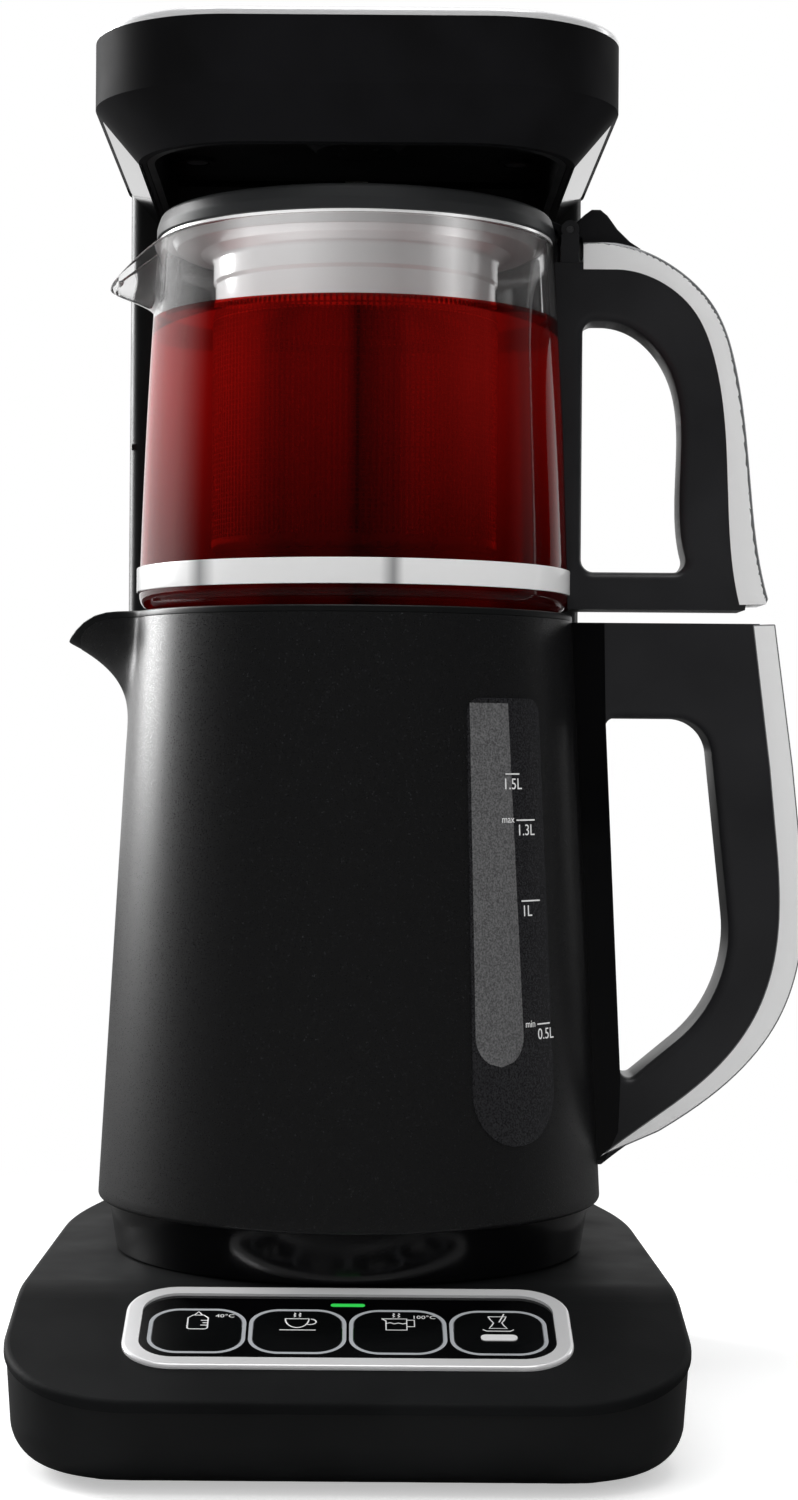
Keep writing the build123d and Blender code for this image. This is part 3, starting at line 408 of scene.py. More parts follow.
# Painted reflections on the basket's collar, carried as a painted glow, since it stands behind glass.
collar_painted_reflections = [(-48, "#303030"), (-42, "#8c8c8c"), (-33, "#f2f2f2"), (-17, "#e8e8e8"), (-1, "#ababab"),
                (14, "#7c7c7c"), (22, "#8a8a8a"), (30, "#f6f6f6"), (39, "#565656"), (47, "#1c1c1c")]
collar_steel = painted_reflection_steel("polished_steel_sheet_painted_reflections", collar_painted_reflections, 0.2, 0.3, glow=0.5)
brushed_steel = brushed("brushed_stainless_steel", "#d4d5d7", 0.3, (1, 1, 24))
turned_steel = brushed("spun_stainless_steel", "#c9cacc", 0.3, (1, 1, 30))
zinc = brushed("zinc_plated_steel", "#a9abad", 0.4, (1, 1, 1), 1.2, 0.02)
brass = brushed("plated_brass", "#d2b06a", 0.25, (1, 1, 8))
aluminium = brushed("cast_aluminium", "#b4b6b8", 0.5, (1, 1, 1), 0.9, 0.03)
print("metals ready")

# %% [markdown]
# ## Powder-coated steel
#
# The kettle's wall is steel with a matt black powder coat that holds a little metal flake. The
# coat is slightly rough, like fine orange peel, and the flakes are tiny bright points. A Voronoi
# pattern gives each flake its own cell, and only the rarest cells get a brighter colour.

# %% Powder coat with flakes
FLAKE_MM = 0.6            # real flakes are a tenth of this; they are drawn large enough to show
COAT, FLAKE = "#161617", "#3e4042"
COAT_ROUGH = 0.34
powder_coat, tree, place, shader = surface("powder_coated_steel", COAT, COAT_ROUGH)
cells = add(tree, "ShaderNodeTexVoronoi", {"feature": "F1"}, Vector=place, Scale=1 / (FLAKE_MM * MM))
rare = mapped(tree, cells.outputs["Color"], 0.7, 1.0)
near = mapped(tree, cells.outputs["Distance"], 0.18, 0.42, 1.0, 0.0)
flakes = calc(tree, "MULTIPLY", rare, near)
tree.links.new(mixed(tree, flakes, COAT, FLAKE), shader.inputs["Base Color"])
drift(tree, place, shader, COAT_ROUGH, 0.1, 0.4)
grain(tree, place, shader, 0.7, 0.022)
print("powder coat ready")

# %% [markdown]
# ## Glass, tea, window and lights
#
# The teapot is clear borosilicate glass: no colour, index 1.47, polished. Above the tea a breath
# of steam clings to it, a thin haze that catches the light. The tea's light is a painted glow: it
# glows red in upright streaks, most of all just under its surface, with a painted dark edge right
# under the surface that widens to the sides, and is nearly black at the foot. A ramp across the
# pot and another up it carry that painted glow. Under the tea the basket's steel is painted darker,
# a painted shade. The panel is glass printed black on its back, so its front is a perfect gloss
# over black. The gauge window is smoked plastic. The key rings and the status bar are acrylic
# light guides, lit from behind, and the white print has a little painted glow.

# %% Glass, tea and acrylic
TEA_TOP = 341.4           # the tea's surface, in millimetres above the table
TEA_LEFT, TEA_RIGHT = -56.0, 76.0          # ends of the ramp across the pot
TEA_DARK = 255.0          # the glow has faded to a tenth at this height
STREAK_SWAY = 16.0        # how far a streak may stand off its place, in millimetres
PAINTED_DARK_EDGE_CLIMB = 1.1          # how fast the dark edge widens to both sides
tea_painted_glow_streaks = [(0.05, "#c01612"), (0.1, "#a60f0b"), (0.16, "#860a07"), (0.23, "#a9100b"),
               (0.32, "#6c0806"), (0.41, "#790806"), (0.5, "#260202"), (0.59, "#700a08"),
               (0.68, "#901410"), (0.77, "#a81a16"), (0.84, "#6c0806"), (1.0, "#7a0b07")]

clear_glass, tree, place, shader = surface("borosilicate_glass", "#ffffff", 0.0, ior=1.47, specular=0.08)
height = add(tree, "ShaderNodeSeparateXYZ", Vector=place)
steam = mapped(tree, height.outputs["Z"], (TEA_TOP - 1) * MM, (TEA_TOP + 3) * MM, 1.0, 0.97, soft=True)
tree.links.new(steam, shader.inputs["Transmission Weight"])
grain(tree, place, shader, 30.0, 0.02)

# The tea's emission is a painted glow: red streaks, brighter up to the surface, and a painted dark edge just
# under it that widens to the sides.
tea, tree, place, shader = surface("brewed_black_tea_painted_glow", "#b01008", 0.0, ior=1.02)
shader.inputs["Transmission Weight"].default_value = 0.95
split = about_axis(tree, place)
waves = add(tree, "ShaderNodeTexNoise", {"noise_dimensions": "1D"}, W=split["X"], Scale=90.0, Detail=1.0)
wander = calc(tree, "MULTIPLY_ADD", waves.outputs[0], STREAK_SWAY * MM, split["X"])
streaks = ramp_over(tree, mapped(tree, wander, TEA_LEFT * MM, TEA_RIGHT * MM), tea_painted_glow_streaks)
rise = mapped(tree, split["Z"], TEA_DARK * MM, TEA_TOP * MM, 0.1, 1.3)
climb = calc(tree, "MULTIPLY_ADD", calc(tree, "POWER", split["X"], 2.0), PAINTED_DARK_EDGE_CLIMB, split["Z"])
below_edge = mapped(tree, climb, (TEA_TOP - 0.9) * MM, (TEA_TOP + 0.2) * MM, 1.0, 0.04, soft=True)
glow = mixed(tree, calc(tree, "MULTIPLY", rise, below_edge), "#000000", streaks)
tree.links.new(glow, shader.inputs["Emission Color"])
shader.inputs["Emission Strength"].default_value = 0.3

sieve_steel, tree, place, shader = surface("perforated_steel_painted_shade_under_tea", "#c9cacc", 0.3, metallic=0.6)
height = add(tree, "ShaderNodeSeparateXYZ", Vector=place)
# Under the tea's surface the steel is painted darker and a little red: painted shade for the light that the
# tea takes away.
above_painted_shade = mapped(tree, height.outputs["Z"], (TEA_TOP - 0.5) * MM, TEA_TOP * MM)
tree.links.new(mixed(tree, above_painted_shade, "#77706f", "#e6e6e7"), shader.inputs["Base Color"])
drift(tree, place, shader, 0.3, 0.06, 6)

panel_glass, tree, place, shader = surface("black_printed_glass", "#040405", 0.03, ior=1.52)
grain(tree, place, shader, 20.0, 0.004)

smoked, tree, place, shader = surface("smoked_speckled_window", "#1e1e1f", 0.2)
tint(tree, place, shader, "#18181a", "#2e2e30", 0.6)
grain(tree, place, shader, 5.0, 0.006)

channel, tree, place, shader = surface("gauge_channel_polycarbonate", "#5a5a5a", 0.3)
tint(tree, place, shader, "#454546", "#747475", 0.6)


def lit(name, colour, strength):
    """Acrylic lit from behind, a little uneven along its length; on print the same glow is painted."""
    material, tree, place, shader = surface(name, colour, 0.3)
    ramp = add(tree, "ShaderNodeValToRGB", Fac=noise(tree, place, 6, 2.0))
    dim = tuple(c * 0.8 for c in hex_colour(colour)[:3]) + (1.0,)
    ramp.color_ramp.elements[0].color = dim
    ramp.color_ramp.elements[1].color = hex_colour(colour)
    tree.links.new(ramp.outputs[0], shader.inputs["Base Color"])
    tree.links.new(ramp.outputs[0], shader.inputs["Emission Color"])
    shader.inputs["Emission Strength"].default_value = strength
    return material


ring_light = lit("frosted_acrylic_ring", "#a8abaf", 0.25)
green_light = lit("lit_green_acrylic", "#2fc04c", 0.6)
# The white print takes a little glow too: a painted glow on the gauge scale and the key signs, while the
# brewing bar that shares it is lit.
print_painted_glow_and_lit_bar = lit("white_screen_print", "#e8e8e8", 0.15)
print("materials:", len(bpy.data.materials))

# %% [markdown]
# ## Finishes for the CAD pieces
#
# A piece whose CAD shape is right keeps it, and only its material is exchanged. The table says
# which finish each piece has, also for those that are modelled again below.

# %% Dress the CAD pieces
finishes = {
    satin_abs: ["base_lower_shell", "column_front", "column_rear", "head_underside", "kettle_rim"],
    head_abs: ["head_shell"],
    deck_abs: ["base_deck"],
    handle_abs: ["kettle_handle", "teapot_handle"],
    lid_abs: ["lid", "lid_lever"],
    inner_abs: ["connector_body", "water_nipple", "pump_head", "speaker", "shower_nozzle",
                "kettle_bottom_cover", "kettle_socket", "valve_housing"],
    gloss_abs: ["head_strip_left", "head_strip_right", "kettle_handle_spine", "head_top_cover", "lid_inlet"],
    skirt_abs: ["kettle_collar"],
    key_abs: ["key_1", "key_2", "key_3", "key_4"],
    rubber: ["rubber_feet", "cord_inlet"],
    silicone: ["nipple_seal", "suction_hose", "riser_hose", "valve_poppet"],
    solder_mask: ["control_board", "power_board"],
    satin_chrome: ["panel_bezel", "head_trim"],
    strip_chrome: ["kettle_handle_strip", "teapot_handle_strip"],
    brushed_steel: ["teapot_band", "hinge_pin", "valve_spring", "temperature_sensor"],
    turned_steel: ["strainer_basket", "kettle_floor"],
    zinc: ["base_screws", "column_screws", "head_screws", "pump_motor"],
    brass: ["connector_contacts", "socket_contacts"],
    aluminium: ["heating_element"],
    powder_coat: ["kettle_body"],
    clear_glass: ["teapot_glass"],
    panel_glass: ["panel_glass"],
    smoked: ["gauge_window"],
    ring_light: ["key_light_rings"],
    green_light: ["status_light"],
}
for material, names in finishes.items():
    for name in names:
        nodes[name].data.materials.clear()
        nodes[name].data.materials.append(material)
dressed = sum(len(names) for names in finishes.values())
print("dressed", dressed, "of", len(nodes))

# %% [markdown]
# ## Turned pieces
#
# Glass pot, tea, steel band, basket and lid are all turned shapes. Each is drawn as a profile of
# radius and height and spun about the axis. Real edges are never sharp, so a helper rounds the
# profile's corners first, and the rounding then catches a thin line of light all the way round.

# %% Helpers for profiles, spinning and bevels
STEPS = 192               # segments of a full turn


def rounded_path(corners, segments=5):
    """Points of a profile whose corners (radius, height, rounding) are replaced by arcs."""
    points = []
    for i, (x, z, rounding) in enumerate(corners):
        if rounding == 0 or i in (0, len(corners) - 1):
            points.append((x, z))
            continue
        here = Vector((x, z))
        to_last = (Vector(corners[i - 1][:2]) - here).normalized()
        to_next = (Vector(corners[i + 1][:2]) - here).normalized()
        half = to_last.angle(to_next) / 2
        middle = here + (to_last + to_next).normalized() * rounding / math.sin(half)
        start = here + to_last * rounding / math.tan(half) - middle
        turn = start.angle_signed(here + to_next * rounding / math.tan(half) - middle)
        for step in range(segments + 1):
            arm = start.copy()
            arm.rotate(Matrix.Rotation(-turn * step / segments, 2))
            points.append(tuple(middle + arm))
    return points


def spun(points, closed=False, steps=STEPS):
    """A bmesh spun from profile points (radius, height); closed joins the last to the first."""
    bm = bmesh.new()
    verts = [bm.verts.new((x, 0, z)) for x, z in points]
    edges = [bm.edges.new(pair) for pair in zip(verts, verts[1:])]
    if closed:
        edges.append(bm.edges.new((verts[-1], verts[0])))
    bmesh.ops.spin(bm, geom=verts + edges, cent=(0, 0, 0), axis=(0, 0, 1), dvec=(0, 0, 0),
                   angle=math.tau, steps=steps, use_merge=True, use_normal_flip=False, use_duplicate=False)
    bmesh.ops.remove_doubles(bm, verts=bm.verts, dist=0.001)
    bmesh.ops.recalc_face_normals(bm, faces=bm.faces)
    return bm


def bevelled(bm, edges, width, segments):
    """Rounds edges by a width in millimetres."""
    bmesh.ops.bevel(bm, geom=edges, offset=width, offset_type="OFFSET", segments=segments, profile=0.5,
                    affect="EDGES", material=-1, clamp_overlap=True)


print("helpers ready")

# %% [markdown]
# ## Glass teapot
#
# The pot is blown: a wall of even thickness with a slight belly, a rounded foot and a fire-polished
# rim. Its beak is drawn out of the soft wall with a rod, so it has no edge against the wall. Here
# too the pot is spun round first. Then the wall near the beak is pushed outwards by an amount that
# fades smoothly to both sides and downwards, and the rim is let down towards the tip.
# The two windows aren't mirrored in it: their bright bars would hide the tea.

# %% Glass pot
POT_FOOT, POT_RIM, GLASS = 248.6, 366.8, 2.2
WALL_FOOT = 254.0         # the wall leans and bellies from here up
WALL_FOOT_R, GLASS_RIM_R, BELLY = 68.8, 63.5, 2.6
BEAK_FOOT = 343.0         # the beak leaves the wall here
BEAK_RISE = 9.5           # and stands out fully this much higher
BEAK_REACH = 15.4
BEAK_HALF = 20.0
LIP_DROP = 14.0           # how far the rim falls on the way to the beak's tip
LIP_FROM, LIP_SPAN = 61.5, 18.8
HALVINGS = 24             # steps in the search for a drawn edge's height


def soft_step(t):
    """Soft step from 0 to 1."""
    t = min(max(t, 0.0), 1.0)
    return t * t * (3 - 2 * t)


def glass_r(z):
    """Outer radius of the pot's wall at a height."""
    t = (z - WALL_FOOT) / (POT_RIM - WALL_FOOT)
    return WALL_FOOT_R - (WALL_FOOT_R - GLASS_RIM_R) * t + BELLY * t * (1 - t)


def pot_beak_reach(z):
    """How far the beak's wall is drawn out at a height."""
    return BEAK_REACH * soft_step((max(z - BEAK_FOOT, 0.0) / BEAK_RISE) ** 1.4)


def pot_lip(x):
    """Height of the rim at a distance from the axis; it drops towards the beak's tip."""
    return POT_RIM - LIP_DROP * max((x - LIP_FROM) / LIP_SPAN, 0.0) ** 1.25


def draw_beak(bm, z_low, rim, reach, lip, half, below=0.0, rigid=False):
    """Pushes the wall out to a beak at -X and lets its edge down along the lip.

    The mesh ends below the rim by the given amount; a rigid section, such as a ring, isn't squeezed.
    """
    for vert in bm.verts:
        x, y, z = vert.co
        if x > 0 or abs(y) > half or z < z_low:
            continue
        bell = 0.5 * (1 + math.cos(math.pi * y / half))
        below_edge, above_edge = z_low, rim
        for _ in range(HALVINGS):
            edge = (below_edge + above_edge) / 2
            if lip(abs(x) + reach(edge) * bell) > edge:
                below_edge = edge
            else:
                above_edge = edge
        if rigid:
            z += edge - rim
        else:
            z = z_low + (z - z_low) * (edge - below - z_low) / (rim - below - z_low)
        vert.co = (x - reach(z) * bell, y, z)


outer_wall = [(glass_r(z), z) for z in (256, 262, 270, 280, 290, 300, 310, 320, 330, 337)]
outer_wall += [(glass_r(z), z) for z in (341 + 1.6 * k for k in range(16))]
inner_wall = [(r - GLASS, z) for r, z in reversed(outer_wall)]
foot = rounded_path([(0, POT_FOOT, 0), (glass_r(POT_FOOT) + 0.1, POT_FOOT, 5.0), (glass_r(256), 256, 0)], 8)
BEAD = GLASS / 2          # radius of the rounded rim
rim = [(GLASS_RIM_R - BEAD + BEAD * math.cos(a), POT_RIM - BEAD + BEAD * math.sin(a))
       for a in (math.pi * k / 8 for k in range(9))]
FLOOR_TOP = POT_FOOT + 3.0
floor_inside = rounded_path([(glass_r(258) - GLASS, 258, 0), (glass_r(252) - GLASS, FLOOR_TOP, 4.0),
                             (0, FLOOR_TOP, 0)], 8)
bm = spun(foot[:-1] + outer_wall + rim + inner_wall[:-1] + floor_inside[1:], steps=256)
draw_beak(bm, BEAK_FOOT, POT_RIM, pot_beak_reach, pot_lip, BEAK_HALF)
pot = finish_mesh("teapot_glass_wall", bm, clear_glass, "teapot", ["teapot_glass"], smooth=60)
not_on_glass = bpy.data.collections.new("not_on_glass")
not_on_glass.objects.link(pot)
not_on_glass.collection_objects[0].light_linking.link_state = "EXCLUDE"
for lamp in (left_window, right_window):
    lamp.light_linking.receiver_collection = not_on_glass
print("glass pot:", len(pot.data.polygons), "faces")

# %% [markdown]
# ## Tea
#
# The tea fills the pot up to just below the beak. It reaches a tenth of a millimetre into the
# glass, because a gap of air between them would look like a second wall. Where it meets the glass
# it climbs a little, and the dark line along that edge is painted shade in the tea's glow.

# %% Tea
INTO_GLASS = 0.1
tea_low = FLOOR_TOP - INTO_GLASS
tea_wall = [(glass_r(z) - GLASS + INTO_GLASS, z) for z in (257, 270, 285, 300, 315, 330, TEA_TOP + 0.8)]
tea_foot = rounded_path([(0, tea_low, 0), (glass_r(252) - GLASS + INTO_GLASS, tea_low, 4.0),
                         tea_wall[0] + (0,)], 8)
edge_r = tea_wall[-1][0]
tea_surface = [(edge_r - 0.6, TEA_TOP + 0.3), (edge_r - 2.0, TEA_TOP), (0, TEA_TOP)]
bm = spun(tea_foot[:-1] + tea_wall + tea_surface)
tea_piece = finish_mesh("tea", bm, tea, "teapot", smooth=40)
print("tea:", len(tea_piece.data.polygons), "faces")

# %% [markdown]
# ## Steel band
#
# A rolled band of stainless steel is pressed over the glass and holds the handle.

# %% Steel band
BAND_LOW, BAND_HIGH, BAND_THICK = 254.7, 262.5, 0.8
band_in = glass_r(BAND_LOW) + 0.15
band_out = band_in + BAND_THICK
section = [(band_in, 258, 0), (band_in, BAND_LOW, 0.2), (band_out, BAND_LOW, 0.35),
           (band_out, BAND_HIGH, 0.35), (band_in, BAND_HIGH, 0.2), (band_in, 259, 0)]
bm = spun(rounded_path(section, 3), closed=True)
finish_mesh("steel_band", bm, band_steel, "teapot", ["teapot_band"])
print("band ready")

# %% [markdown]
# ## Strainer basket
#
# The basket is deep-drawn sheet steel: a flange that hangs on the glass, a shoulder, a plain upper
# wall and below it a field of small holes. The holes start as the cells of a flat grid. Each cell
# is inset, its middle is deleted, and the sheet is rolled up and given its thickness. Thousands of
# round holes would be too heavy, so each hole has four sides, which can't be told at this size.

# %% Basket
BASKET_R, SHEET = 45.0, 0.6
HOLES_ROUND, HOLE_ROWS = 150, 46
HOLES_LOW, HOLES_HIGH = 271.0, 345.0
BORDER = 0.27             # what stays of a cell round its hole, as a part of its width
bm = bmesh.new()
bmesh.ops.create_grid(bm, x_segments=HOLES_ROUND, y_segments=HOLE_ROWS, size=0.5)
cells = bmesh.ops.inset_individual(bm, faces=bm.faces[:], thickness=BORDER / HOLES_ROUND, depth=0)
ring_faces = set(cells["faces"])
bmesh.ops.delete(bm, geom=[face for face in bm.faces if face not in ring_faces], context="FACES")
for vert in bm.verts:
    turn = vert.co.x * math.tau
    height = HOLES_LOW + (vert.co.y + 0.5) * (HOLES_HIGH - HOLES_LOW)
    vert.co = (BASKET_R * math.sin(turn), -BASKET_R * math.cos(turn), height)
bmesh.ops.remove_doubles(bm, verts=bm.verts, dist=0.01)
bmesh.ops.recalc_face_normals(bm, faces=bm.faces)
bmesh.ops.solidify(bm, geom=bm.faces[:], thickness=SHEET)
sieve = finish_mesh("basket_sieve", bm, sieve_steel, "teapot")
print("sieve:", len(sieve.data.polygons), "faces")

POT_LIP_R = glass_r(POT_RIM) - 0.2
outside = [(BASKET_R + 0.1, HOLES_HIGH - 0.5, 0), (BASKET_R + 0.1, 353, 0.5), (BASKET_R + 0.8, 354.2, 0.5),
           (BASKET_R + 0.8, 361, 2.0), (50, 363.4, 2.0), (57.6, 364.4, 1.0), (59, POT_RIM, 0.8),
           (POT_LIP_R, POT_RIM, 0)]
inside = [(POT_LIP_R, POT_RIM + 0.8, 0), (58.4, POT_RIM + 0.8, 1.2), (57, 365.2, 1.0), (49.7, 364.2, 1.5),
          (BASKET_R + 0.1, 361.6, 2.0), (BASKET_R + 0.1, 354.4, 0.4), (BASKET_R - SHEET, 353.3, 0.4),
          (BASKET_R - SHEET, HOLES_HIGH - 0.5, 0)]
bm = spun(rounded_path(outside, 4) + rounded_path(inside, 4), closed=True)
cup = finish_mesh("basket_collar", bm, collar_steel, "teapot", ["strainer_basket"])
low_wall = [(0, 267, 0), (BASKET_R + 0.1, 267, 3.0), (BASKET_R + 0.1, HOLES_LOW + 0.5, 0)]
low_inside = [(BASKET_R - SHEET, HOLES_LOW + 0.5, 0), (BASKET_R - SHEET, 267.7, 2.4), (0, 267.7, 0)]
bm = spun(rounded_path(low_wall, 6) + rounded_path(low_inside, 6))
finish_mesh("basket_floor", bm, sieve_steel, "teapot")
print("basket collar:", len(cup.data.polygons), "faces")

# %% [markdown]
# ## Lid
#
# The lid is satin plastic: a shallow dome with a rolled edge, a rib that finds the basket's mouth,
# and a hole for the inlet's funnel in the middle.

# %% Lid
LID_R, LID_Z = 64.0, 367.8
INLET_R = 13.05
over = [(INLET_R, 371.5, 0), (INLET_R, 374.6, 0.4), (30, 376, 10), (58, 376.3, 4), (62.6, 375.2, 2.4),
        (LID_R, 371, 3), (LID_R, LID_Z, 0.5)]
under = [(61.6, LID_Z, 0.5), (61.2, 371, 0.6), (59.6, 373.2, 0.8), (56, 373.6, 0.3), (56, 366, 0.5),
         (54.4, 366, 0.5), (54.4, 373.6, 0.5), (30, 373.4, 6), (14.5, 372.6, 0)]
bm = spun(rounded_path(over + under, 6), closed=True)
lid = finish_mesh("lid_dome", bm, lid_abs, "lid", ["lid"], smooth=40)
print("lid:", len(lid.data.polygons), "faces")

# %% [markdown]
# ## Kettle wall and rim
#
# The kettle's wall is a steel cone whose beak is pressed out of the same sheet, and a moulded ring
# sits on its edge. Both are spun, and then the glass pot's helper draws the beak: here it starts
# far down the wall and sweeps out in a hollow curve to a tip that stands well in front.

# %% Kettle wall
KETTLE_LOW, KETTLE_SEAM, RIM_TOP = 62.0, 246.2, 248.4
KETTLE_FOOT_R, KETTLE_FOOT_Z = 80.5, 63.0  # the wall's radius at a height,
KETTLE_LEAN = 0.0545      # and how much it narrows on each millimetre up
SHEET_STEEL = 1.5
KETTLE_BEAK_FOOT, KETTLE_BEAK_HALF = 206.0, 20.0
SWEEP_FROM, SWEEP_TO = 208.0, 238.6        # heights between which the beak sweeps outwards
SWEEP_REACH, TIP_REACH = 21.0, 8.0
TIP_BEND = 2.06           # how quickly the tip turns upright
RING_DROP = 10.6          # how far the ring falls on the way to the beak's tip
RING_FROM, RING_SPAN = 72.0, 20.2
RIM_BORE = 66.2


def kettle_r(z):
    """Outer radius of the kettle's wall at a height."""
    return KETTLE_FOOT_R - KETTLE_LEAN * (z - KETTLE_FOOT_Z)


def kettle_beak_reach(z):
    """How far the beak stands out at a height: a hollow sweep, then nearly upright."""
    sweep = SWEEP_REACH * min(max((z - SWEEP_FROM) / (SWEEP_TO - SWEEP_FROM), 0.0), 1.0) ** 3
    return sweep + TIP_REACH * (1 - math.exp(-TIP_BEND * max(z - SWEEP_TO, 0.0) / TIP_REACH))


def kettle_lip(x):
    """Height of the ring's top at a distance from the axis."""
    return RIM_TOP - RING_DROP * max((x - RING_FROM) / RING_SPAN, 0.0) ** 3.2


low_edge = rounded_path([(74, KETTLE_LOW, 0), (kettle_r(62), KETTLE_LOW, 1.4), (kettle_r(66), 66, 0)], 5)
heights = [66, 90, 120, 150, 180, 200] + [206 + 1.34 * k for k in range(31)]
outer_wall = [(kettle_r(z), z) for z in heights]
inner_wall = [(kettle_r(z) - SHEET_STEEL, z) for z in reversed(heights)]
bm = spun(low_edge[:-1] + outer_wall + inner_wall + [(kettle_r(63.2) - SHEET_STEEL, 63.2), (74, 63.2)],
          closed=True, steps=256)
draw_beak(bm, KETTLE_BEAK_FOOT, RIM_TOP, kettle_beak_reach, kettle_lip, KETTLE_BEAK_HALF,
          below=RIM_TOP - KETTLE_SEAM)
wall = finish_mesh("kettle_wall", bm, powder_coat, "kettle", ["kettle_body"], smooth=50)
print("kettle wall:", len(wall.data.polygons), "faces")

# %% Ring on the kettle's edge
top_r = kettle_r(RIM_TOP)
section = [(RIM_BORE, 247.5, 0), (RIM_BORE, KETTLE_SEAM, 0.3), (top_r - 0.1, KETTLE_SEAM, 0.3),
           (top_r - 0.1, RIM_TOP, 0.7), (RIM_BORE, RIM_TOP, 0.5), (RIM_BORE, 247.7, 0)]
bm = spun(rounded_path(section, 4), closed=True, steps=256)
draw_beak(bm, 0, RIM_TOP, kettle_beak_reach, kettle_lip, KETTLE_BEAK_HALF, rigid=True)
finish_mesh("kettle_ring", bm, satin_abs, "kettle", ["kettle_rim"], smooth=40)
print("kettle ring ready")

# %% [markdown]
# ## Marks that follow a surface
#
# The gauge's scale and the signs on the keys are screen printed. Each line is a curve with a round
# section, pressed nearly flat, and then every vertex is laid on the surface that carries it: the
# conical window, or the sloping key. Numbers are text, turned into a mesh first.

# %% Print helpers


def arc(x, y, rx, ry, start, end, count):
    """Points of an arc about (x, y), angles in degrees."""
    turns = (math.radians(start + (end - start) * k / count) for k in range(count + 1))
    return [(x + rx * math.cos(a), y + ry * math.sin(a)) for a in turns]


def as_bmesh(curve):
    """The mesh that a curve or text makes, as a bmesh."""
    carrier = placed("carrier", curve)
    graph = bpy.context.evaluated_depsgraph_get()
    mesh = bpy.data.meshes.new_from_object(carrier.evaluated_get(graph))
    bm = bmesh.new()
    bm.from_mesh(mesh)
    bpy.data.objects.remove(carrier)
    bpy.data.meshes.remove(mesh)
    return bm


def stroke(lines, width):
    """A bmesh of thin round lines; each line is a list of (x, y) points."""
    curve = bpy.data.curves.new("stroke", "CURVE")
    curve.dimensions = "3D"
    curve.bevel_depth = width / 2
    curve.bevel_resolution = 1
    curve.use_fill_caps = True
    for line in lines:
        spline = curve.splines.new("POLY")
        spline.points.add(len(line) - 1)
        for point, (x, y) in zip(spline.points, line):
            point.co = (x, y, 0, 1)
    return as_bmesh(curve)


def lettering(text, height, x, y, align="LEFT"):
    """A bmesh of text with its foot at (x, y)."""
    curve = bpy.data.curves.new("lettering", "FONT")
    curve.body = text
    curve.size = height * 1.4
    curve.align_x = align
    curve.extrude = 0.05
    curve.resolution_u = 3
    bm = as_bmesh(curve)
    bmesh.ops.translate(bm, vec=(x, y, 0), verts=bm.verts)
    return bm


def lay(bm, surface_point, press=0.4):
    """Lays a flat drawing on a surface; press flattens its height."""
    for vert in bm.verts:
        vert.co = surface_point(vert.co.x, vert.co.y, vert.co.z * press)
    return bm


def joined(parts):
    """Several bmeshes as one."""
    whole = parts[0]
    for part in parts[1:]:
        mesh = bpy.data.meshes.new("part")
        part.to_mesh(mesh)
        part.free()
        whole.from_mesh(mesh)
        bpy.data.meshes.remove(mesh)
    return whole


print("print helpers ready")

# %% [markdown]
# ## Water gauge
#
# Behind the smoked window a paler channel shows, where the water stands. It is a strip with a round
# foot that follows the cone. The scale has one line for each mark.

# %% Channel and scale
GAUGE_TURN = math.radians(40.2)
WINDOW_PROUD = 0.4


def on_gauge(u, z, lift=0.0):
    """A point on the window: u millimetres round the cone from its middle, at a height."""
    r = kettle_r(z) + WINDOW_PROUD + lift
    turn = GAUGE_TURN + u / r
    return Vector((r * math.sin(turn), -r * math.cos(turn), z))


CHANNEL_LOW, CHANNEL_HIGH = 110.0, 219.4
bm = bmesh.new()
bmesh.ops.create_grid(bm, x_segments=16, y_segments=90, size=0.5)
for vert in bm.verts:
    z = CHANNEL_LOW + (vert.co.y + 0.5) * (CHANNEL_HIGH - CHANNEL_LOW)
    way_up = (z - CHANNEL_LOW) / (CHANNEL_HIGH - CHANNEL_LOW)
    left, right = -15.6 + 1.5 * way_up, 3.2 - 2.7 * way_up
    half = (right - left) / 2
    round_foot = math.sqrt(max(1 - (1 - min((z - CHANNEL_LOW) / half, 1.0)) ** 2, 0.0))
    vert.co = on_gauge((left + right) / 2 + vert.co.x * 2 * half * round_foot, z, 0.03)
bmesh.ops.remove_doubles(bm, verts=bm.verts, dist=0.005)
finish_mesh("gauge_channel", bm, channel, "kettle")

MARK_LINE, MARK_TEXT, WORD_TEXT = 0.45, 3.4, 2.2
# volume, height, ends of the line, where the volume's text starts, word
marks = [("1.5L", 198.0, -1.4, 4.5, -2.6, None), ("1.3L", 184.0, 2.7, 11.0, 2.7, "max"),
         ("1L", 159.5, 3.8, 12.4, 3.8, None), ("0.5L", 122.0, 9.4, 15.6, 9.4, "min")]
drawings = []
for text, z, start, end, text_start, word in marks:
    line = [(start, z), ((start + end) / 2, z), (end, z)]
    drawings.append(lay(stroke([line], MARK_LINE), on_gauge))
    drawings.append(lay(lettering(text, MARK_TEXT, text_start, z - 4.6), on_gauge, 1.0))
    if word:
        drawings.append(lay(lettering(word, WORD_TEXT, start - 0.9, z - 0.7, "RIGHT"), on_gauge, 1.0))
finish_mesh("gauge_scale", joined(drawings), print_painted_glow_and_lit_bar, "kettle")
print("gauge ready")

# %% [markdown]
# ## Signs on the keys
#
# Four signs say what the keys do: a feeding bottle with its scale, a cup, a jug of boiling water
# and a tea glass on its saucer. The fourth key also has a white bar, lit while tea is brewing.

